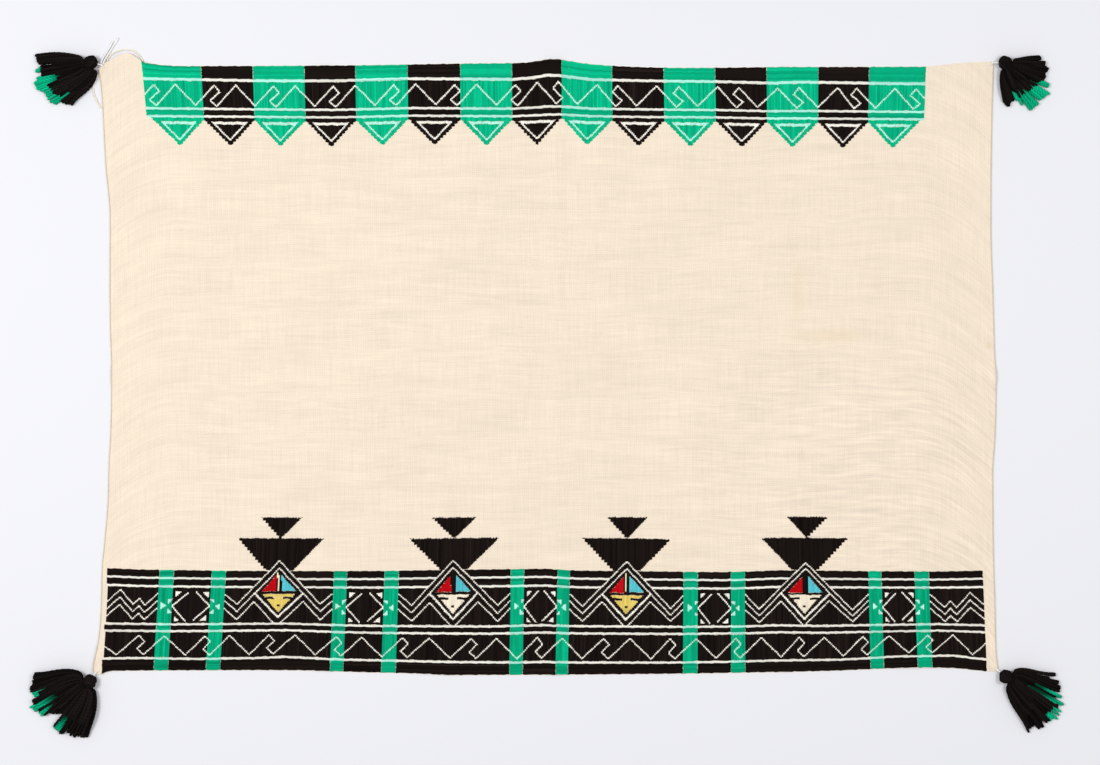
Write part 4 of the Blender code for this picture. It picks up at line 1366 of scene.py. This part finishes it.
# head (x, y), the middle (x, y) that the fan spreads from, then for the side of the lowest heading and for
# that of the highest: how much wider the bulge by the neck is, in degrees, and how late it draws in. Then the
# shares of their length where the green yarns come out of the shade, and the locks: (wool, from heading,
# to heading, from reach, to reach, wide, deep, layer)
TASSELS = {
    "top_left": ((-748.0, 545.5), (-747.2, 547.1), (21, 1.4), (62, 1.9), (0.47, 0.76), (
        ("black", 171.6, 183.0, 94, 89, 4, 3, 0),
        ("black", 185.4, 196.0, 85, 86, 3, 2, 1),
        ("black", 207.0, 216.5, 83, 83, 3, 2, 1),
        ("black", 217.0, 226.5, 83, 80, 3, 2, 1),
        ("black", 226.5, 230.0, 80, 76, 1, 2, 1),
        ("black", 231.0, 246.0, 85, 78, 4, 3, 0),
        ("black", 173.0, 196.0, 68, 62, 6, 1, 3),
        ("black", 196.0, 207.0, 63, 63, 3, 1, 3),
        ("black", 207.0, 243.0, 66, 62, 9, 1, 3),
        ("black", 176.0, 196.0, 60, 64, 5, 1, 2),
        ("black", 207.0, 238.0, 60, 64, 7, 1, 2),
        ("green", 183.0, 186.0, 90, 88, 1, 1, 0),
        ("green", 186.5, 191.5, 95, 94, 2, 1, 0),
        ("green", 195.0, 199.5, 95, 97, 2, 1, 0),
        ("green", 199.0, 206.5, 101, 101, 3, 2, 0),
        ("green", 206.5, 210.5, 98, 97, 2, 2, 0),
        ("green", 212.0, 218.4, 94, 94, 2, 2, 0),
        ("green", 220.5, 230.0, 97, 92, 3, 2, 0),
    )),
    "top_right": ((750.6, 544.6), (751.0, 547.0), (23, 1.5), (3, 1.5), (0.42, 0.72), (
        ("black", 10.6, 3.2, 58, 61, 2, 2, 1),
        ("black", 0.5, -6.5, 67, 68, 2, 3, 0),
        ("black", -6.5, -17.5, 73, 70, 3, 3, 0),
        ("black", -17.5, -26.5, 73, 71, 2, 3, 0),
        ("black", -26.5, -34.0, 68, 62, 2, 2, 2),
        ("black", -34.0, -56.0, 66, 60, 6, 1, 2),
        ("black", -56.0, -67.0, 62, 63, 3, 1, 2),
        ("black", -67.0, -80.0, 56, 48, 3, 1, 2),
        ("black", -76.0, -83.0, 66, 69, 2, 3, 0),
        ("black", -83.5, -92.0, 75, 66, 3, 3, 0),
        ("black", 8.0, -80.0, 54, 46, 16, 1, 3),
        ("green", -25.3, -32.0, 84, 82, 2, 2, 0),
        ("green", -33.8, -47.0, 91, 86, 4, 2, 0),
        ("green", -49.3, -63.5, 89, 91, 4, 2, 0),
        ("green", -63.5, -68.0, 82, 76, 1, 1, 0),
        ("green", -68.0, -75.5, 72, 61, 2, 1, 0),
    )),
    "bottom_left": ((-749.4, -468.6), (-751.0, -469.0), (48, 1.9), (36, 1.4), (0.60, 0.95), (
        ("black", 170.8, 180.6, 92, 94, 3, 3, 1),
        ("black", 181.0, 184.5, 95, 95, 1, 3, 1),
        ("black", 185.0, 190.0, 97, 100, 2, 3, 0),
        ("black", 190.8, 196.8, 86, 87, 2, 2, 1),
        ("black", 197.0, 202.6, 99, 101, 2, 2, 1),
        ("black", 209.8, 212.2, 98, 98, 1, 2, 1),
        ("black", 215.8, 218.6, 95, 92, 1, 2, 1),
        ("black", 218.6, 222.0, 84, 80, 1, 2, 1),
        ("black", 222.0, 229.6, 79, 70, 2, 2, 1),
        ("black", 230.8, 232.2, 94, 94, 1, 1, 2),
        ("black", 239.0, 244.0, 100, 98, 2, 3, 0),
        ("black", 244.0, 249.0, 93, 93, 1, 3, 0),
        ("black", 249.0, 255.5, 96, 95, 2, 3, 0),
        ("black", 256.5, 259.2, 93, 93, 1, 3, 0),
        ("black", 260.3, 268.0, 94, 92, 3, 3, 0),
        ("black", 268.0, 270.5, 80, 78, 1, 2, 0),
        ("black", 174.0, 203.0, 66, 60, 9, 1, 3),
        ("black", 203.0, 216.0, 46, 50, 3, 1, 3),
        ("black", 216.0, 264.0, 66, 72, 13, 1, 3),
        ("green", 190.4, 196.2, 99, 94, 2, 2, 0),
        ("green", 203.0, 210.0, 109, 102, 3, 1, 0),
        ("green", 203.0, 216.0, 95, 95, 5, 1, 1),
        ("green", 212.3, 215.8, 99, 98, 1, 2, 0),
        ("green", 232.6, 238.6, 97, 99, 2, 2, 0),
    )),
    "bottom_right": ((752.2, -460.9), (751.8, -460.5), (19, 1.8), (38, 2.0), (0.58, 0.93), (
        ("black", 3.4, -0.2, 84, 83, 1, 3, 0),
        ("black", -1.5, -5.2, 72, 74, 1, 3, 0),
        ("black", -5.4, -8.2, 89, 89, 1, 3, 0),
        ("black", -8.4, -10.2, 80, 80, 1, 2, 0),
        ("black", -10.2, -16.4, 92, 94, 2, 3, 0),
        ("black", -19.8, -26.0, 90, 94, 2, 1, 1),
        ("black", -28.4, -31.2, 101, 101, 1, 2, 1),
        ("black", -31.2, -38.0, 93, 95, 3, 2, 1),
        ("black", -38.0, -44.4, 92, 92, 2, 2, 1),
        ("black", -44.0, -49.6, 105, 103, 2, 3, 0),
        ("black", -50.0, -52.6, 96, 97, 1, 2, 0),
        ("black", -52.8, -57.6, 105, 104, 2, 3, 0),
        ("black", -58.0, -60.0, 95, 95, 1, 2, 0),
        ("black", -60.0, -67.8, 95, 96, 3, 3, 0),
        ("black", -66.6, -66.8, 102, 102, 1, 1, 0),
        ("black", 1.5, -16.0, 64, 58, 6, 1, 3),
        ("black", -16.0, -33.0, 48, 42, 5, 1, 3),
        ("black", -33.0, -64.0, 62, 76, 10, 1, 3),
        ("green", -17.0, -19.6, 92, 92, 1, 1, 2),
        ("green", -18.5, -22.0, 99, 98, 1, 2, 0),
        ("green", -26.4, -29.0, 96, 96, 1, 1, 2),
        ("green", -24.8, -28.4, 107, 106, 1, 2, 0),
        ("green", -31.3, -39.5, 110, 111, 3, 1, 0),
        ("green", -39.5, -44.0, 105, 106, 2, 1, 0),
    )),
}
LAYER_STEP = 3.4
YARN_STATIONS = 32
# Each deeper layer is set aside by this share of a yarn's place, and is this much shorter
LAYER_ASIDE = 0.22
LAYER_SHORTER = 0.8
# Chance in a yarn's reach, in its heading (radians) and in its sway
REACH_CHANCE = (-1.2, 0.9)
HEADING_CHANCE = 0.009
SWAY = 0.6
# The share of its length in which a yarn leaves the neck, and the share in which it comes down to the floor
LEAVE_NECK = 0.11
COME_DOWN = 0.42
HUMP = 1.2


def eased(value, low, high):
    """0 below low, 1 above high, and a soft step between."""
    t = np.clip((value - low) / (high - low), 0, 1)
    return t * t * (3 - 2 * t)


def rim_span(low_side, high_side, locks):
    """Lowest and highest heading of the tips, and of the bulge near the neck, in radians."""
    headings = np.radians([heading for lock in locks for heading in lock[1:3]])
    low, high = headings.min(), headings.max()
    return low, high, low - math.radians(low_side[0]), high + math.radians(high_side[0])


def lock_paths(head, fan_middle, low_side, high_side, locks, wool, chance):
    """Paths of one wool's yarns in a tassel, from the neck to the tips, of the shape (yarn, point, 3).

    A yarn's distance from the head grows evenly. Its heading starts at its share of the wide bulge and draws
    in to its tip's, and its height falls from the neck to the layer that it rests on."""
    low, high, rim_low, rim_high = rim_span(low_side, high_side, locks)
    rows = []
    for name, from_heading, to_heading, from_reach, to_reach, wide, deep, layer in locks:
        if name != wool:
            continue
        for level in range(deep):
            for k in range(wide):
                share = (k + 0.5 + LAYER_ASIDE * (-1) ** level) / wide
                rows.append((math.radians(from_heading + share * (to_heading - from_heading)),
                             from_reach + share * (to_reach - from_reach) - LAYER_SHORTER * level,
                             layer + level))
    heading, reach, level = np.array(rows).T
    count = len(rows)
    reach = reach + chance.uniform(*REACH_CHANCE, count)
    heading = heading + chance.normal(0, HEADING_CHANCE, count)
    t = np.linspace(0, 1, YARN_STATIONS)[None, :]
    out = NECK_REACH + (reach[:, None] - NECK_REACH) * t
    beside = np.clip((heading - low) / (high - low), 0, 1)
    at_rim = rim_low + beside * (rim_high - rim_low)
    late = (low_side[1] + beside * (high_side[1] - low_side[1]))[:, None]
    turned = heading[:, None] + (at_rim - heading)[:, None] * (1 - t) ** late
    fan = np.stack([out * np.cos(turned), out * np.sin(turned)], -1) + np.subtract(fan_middle, head)
    middle = (rim_low + rim_high) / 2
    ahead = np.array([math.cos(middle), math.sin(middle)])
    aside = np.array([-ahead[1], ahead[0]])
    place = np.clip((at_rim - middle) / ((rim_high - rim_low) / 2), -1, 1)[:, None]
    neck = (NECK_REACH + 10 * t)[..., None] * ahead + (NECK_HALF * place * (1 + t))[..., None] * aside
    leave = eased(t, 0.0, LEAVE_NECK)[..., None]
    flat = neck * (1 - leave) + fan * leave
    sway = chance.normal(0, SWAY, (count, 1)) * np.sin(math.pi * t * chance.uniform(1, 2.6, (count, 1)))
    flat = flat + sway[..., None] * aside
    start_z = HEAD_TALL + (level[:, None] - 1.8) * 2.1
    rest = TASSEL_YARN + LAYER_STEP * level[:, None] * (1 - 0.45 * eased(t, 0.55, 1.0))
    hump = HUMP * np.sin(math.pi * np.clip(t * 1.6, 0, 1))
    z = start_z + (rest - start_z) * eased(t, 0.0, COME_DOWN) + hump
    z = np.clip(z, TASSEL_YARN * 1.2, 2 * HEAD_TALL - TASSEL_YARN)
    return np.concatenate([flat + np.array(head), z[..., None]], -1)


# %% [markdown]
# The head is built as it is made: yarns fold over in arcs that start and end at the neck, each in its own
# plane, over a soft core, and a few turns of yarn bind the neck.

# %% Heads and necks
HEAD_ARCS = 6
HEAD_YARN = 3.3
HEAD_LUMP = 1.0
ARC_HALF_TURN = 146
# The core's length and width as shares of the head's radius, and how far it is from a whole ball
CORE_LONG = 0.9
CORE_WIDE = 0.66
CORE_ROUND = 0.82
BIND_TURNS = 3.0
BIND_YARN = 1.7
BIND_WIDE = 6.6
BIND_TALL = 6.2
# Painted shade: how much darker a tassel yarn's underside is painted than its top
TASSEL_UNDERSIDE_SHADE = 0.75


def head_parts(head, heading, chance):
    """Core, folded arcs and neck binding of a head. heading is where its yarns point, in radians."""
    ahead = np.array([math.cos(heading), math.sin(heading), 0.0])
    aside = np.array([-ahead[1], ahead[0], 0.0])
    middle = np.array([*head, HEAD_TALL])
    parts = []
    t = np.linspace(-0.80, 0.80, 21)
    core = middle + np.outer(t * HEAD_RADIUS * CORE_LONG, ahead)
    core_radius = HEAD_RADIUS * CORE_WIDE * np.sqrt(1 - (t / CORE_ROUND) ** 2)
    # The core is painted darker than the arcs, as painted shade in the gaps between them
    parts.append(tubes(core[None], core_radius[None], sides=16, plies=6, depth=0.03, pitch=40.0, tone=0.4))
    turn = np.linspace(-1, 1, 24) * math.radians(ARC_HALF_TURN)
    for k in range(HEAD_ARCS):
        tilt = math.pi * (k + chance.uniform(-0.2, 0.2)) / HEAD_ARCS
        sideways = math.cos(tilt) * aside + math.sin(tilt) * UP
        normal = np.cross(ahead, sideways)
        lumps = HEAD_LUMP * np.sin(chance.uniform(3.5, 5.5) * turn + chance.uniform(0, math.tau))
        wide = (HEAD_RADIUS - HEAD_YARN * chance.uniform(0.85, 1.1) + lumps)[:, None]
        arc = (-np.cos(turn)[:, None] * ahead + np.sin(turn)[:, None] * sideways) * wide
        arc[:, 2] *= (HEAD_TALL - HEAD_YARN) / (HEAD_RADIUS - HEAD_YARN)
        path = middle + arc + chance.uniform(-1.5, 1.5) * normal * np.cos(turn)[:, None]
        path[:, 2] = np.maximum(path[:, 2], HEAD_YARN * 1.1)
        parts.append(tubes(path[None], np.full((1, len(turn)), HEAD_YARN), sides=12, plies=3, depth=0.12,
                           pitch=15.0, reference=normal, tone=chance.uniform(0.7, 1.8), seed=k))
    turn = np.linspace(0, BIND_TURNS, 60) * math.tau
    reach = NECK_REACH - 0.5 + np.linspace(-0.5, 0.5, 60) * BIND_TURNS * BIND_YARN * 1.5
    around = np.cos(turn)[:, None] * aside * BIND_WIDE + np.sin(turn)[:, None] * UP * BIND_TALL
    path = np.array([*head, HEAD_TALL - 0.6]) + reach[:, None] * ahead + around
    path[:, 2] = np.maximum(path[:, 2], BIND_YARN * 1.1)
    parts.append(tubes(path[None], np.full((1, 60), BIND_YARN), sides=8, plies=2, depth=0.12, pitch=7.0,
                       reference=ahead, tone=0.9))
    return parts


# %% Build the tassels
TIP_TAPER = (0.98, 0.92, 0.55)
DEEP_SHADE = 0.10


def yarn_radius(count):
    """A yarn's radius along it: a little fuller towards its cut end, which narrows to a soft point."""
    radius = TASSEL_YARN * (1 + 0.06 * np.linspace(0, 1, YARN_STATIONS))
    radius[-len(TIP_TAPER):] *= TIP_TAPER
    return np.broadcast_to(radius, (count, YARN_STATIONS))


for number, (corner, (head, fan_middle, low_side, high_side, lit, locks)) in enumerate(TASSELS.items()):
    chance = np.random.default_rng(100 + number)
    _, _, rim_low, rim_high = rim_span(low_side, high_side, locks)
    for wool, tones in (("black", (0.35, 1.7)), ("green", (0.75, 1.1))):
        paths = lock_paths(head, fan_middle, low_side, high_side, locks, wool, chance)
        shade = chance.uniform(*tones, len(paths))[:, None] * np.ones(YARN_STATIONS)
        if wool == "green":
            shade *= DEEP_SHADE + (1 - DEEP_SHADE) * eased(np.linspace(0, 1, YARN_STATIONS), *lit)
        parts = [tubes(paths, yarn_radius(len(paths)), sides=9, plies=3, depth=0.11, pitch=13.0,
                       tone=shade, underside_shade=TASSEL_UNDERSIDE_SHADE, seed=number)]
        if wool == "black":
            parts += head_parts(head, (rim_low + rim_high) / 2, chance)
        points, faces, yarn = joined(parts)
        make_piece(f"tassel_{corner}_{wool}", points, faces, TASSEL_WOOL[wool],
                   (f"tassel_{corner}",) if wool == "black" else (), yarn)

# %% [markdown]
# ## The ties
# A short cotton cord goes through the corner of the cloth, is knotted on its face and holds the tassel's
# head. It is a twisted cord along the solid's own path, with two turns wound round it for the knot.

# %% Ties
TIE_RADIUS = 1.3
TIE_KNOT = 1.4
TIE_RISE = 2.0
TIE_KNOT_INBOARD = 2.4
TIE_START_INBOARD = 6.5
# The turns wound round the knot: how many, how far along it to each side, how wide, and their yarn's radius
WOUND_TURNS = 2.2
WOUND_HALF = 1.2
WOUND_WIDE = 1.35
WOUND_YARN = 0.75

for number, (corner, (head, *_)) in enumerate(TASSELS.items()):
    middle = np.array([*head, HEAD_TALL])
    spot = np.array(CORNERS[corner], float)
    inward = -np.sign(spot)
    knot = np.array([*(spot + inward * TIE_KNOT_INBOARD), 0.0])
    start = np.array([*(spot + inward * TIE_START_INBOARD), 0.0])
    for point, radius in ((knot, TIE_RADIUS * TIE_KNOT), (start, TIE_RADIUS)):
        point[2] = float(cotton_top(*point[:2])) + radius
    toward = knot + np.array([0, 0, TIE_RISE]) - middle
    toward /= np.linalg.norm(toward)
    end = middle + toward * HEAD_RADIUS * 0.9
    path = resampled([start, (start + knot) / 2, knot, (knot * 2 + end) / 3, end], 0.8)
    parts = [tubes(path[None], TIE_RADIUS * 0.9, sides=12, plies=2, depth=0.16, pitch=6.0, seed=number)]
    along = (end - start) / np.linalg.norm(end - start)
    aside = np.cross(along, UP)
    aside /= np.linalg.norm(aside)
    over = np.cross(aside, along)
    turn = np.linspace(0, WOUND_TURNS, 40) * math.tau
    wound = (knot + np.linspace(-WOUND_HALF, WOUND_HALF, 40)[:, None] * along
             + WOUND_WIDE * (np.cos(turn)[:, None] * aside + np.sin(turn)[:, None] * over))
    parts.append(tubes(wound[None], np.full((1, 40), WOUND_YARN), sides=8, plies=2, depth=0.12, pitch=4.0,
                       reference=along))
    points, faces, yarn = joined(parts)
    make_piece(f"tie_{corner}_cord", points, faces, CORD_COTTON, (f"tie_{corner}",), yarn)

# %% [markdown]
# ## Floor and light
# The cloth lies on a plain pale floor. Two soft lamps stand on either side, a little above the middle, as for
# copying a picture: the left one is stronger. An even sky fills the shadows.

# %% Floor, lamps and sky
FLOOR_HALF = 6.0
floor_mesh = bpy.data.meshes.new("floor")
floor_mesh.from_pydata([(-FLOOR_HALF, -FLOOR_HALF, 0), (FLOOR_HALF, -FLOOR_HALF, 0),
                        (FLOOR_HALF, FLOOR_HALF, 0), (-FLOOR_HALF, FLOOR_HALF, 0)], [], [(0, 1, 2, 3)])
floor_finish, shader, tree = new_finish("paper_floor", 0.9, specular=0.0)
shader.inputs["Base Color"].default_value = (0.83, 0.83, 0.86, 1.0)
floor_mesh.materials.append(floor_finish)
floor = bpy.data.objects.new("floor", floor_mesh)
bpy.context.scene.collection.objects.link(floor)

# place (x, y, z) in m, power in W
LAMPS = {
    "lamp_left": ((-1.9, 0.35, 2.9), 49),
    "lamp_right": ((1.9, 0.30, 2.9), 32),
}
for name, (spot, power) in LAMPS.items():
    lamp_data = bpy.data.lights.new(name, "AREA")
    lamp_data.shape = "SQUARE"
    lamp_data.size = 1.0
    lamp_data.energy = power
    lamp = bpy.data.objects.new(name, lamp_data)
    lamp.location = spot
    lamp.rotation_euler = (-lamp.location).to_track_quat("-Z", "Y").to_euler()
    bpy.context.scene.collection.objects.link(lamp)

sky = bpy.data.worlds.new("sky")
sky.use_nodes = True
sky.node_tree.nodes["Background"].inputs["Color"].default_value = (0.97, 0.98, 1.0, 1.0)
sky.node_tree.nodes["Background"].inputs["Strength"].default_value = 0.54
bpy.context.scene.world = sky
bpy.context.scene.view_settings.view_transform = "Standard"
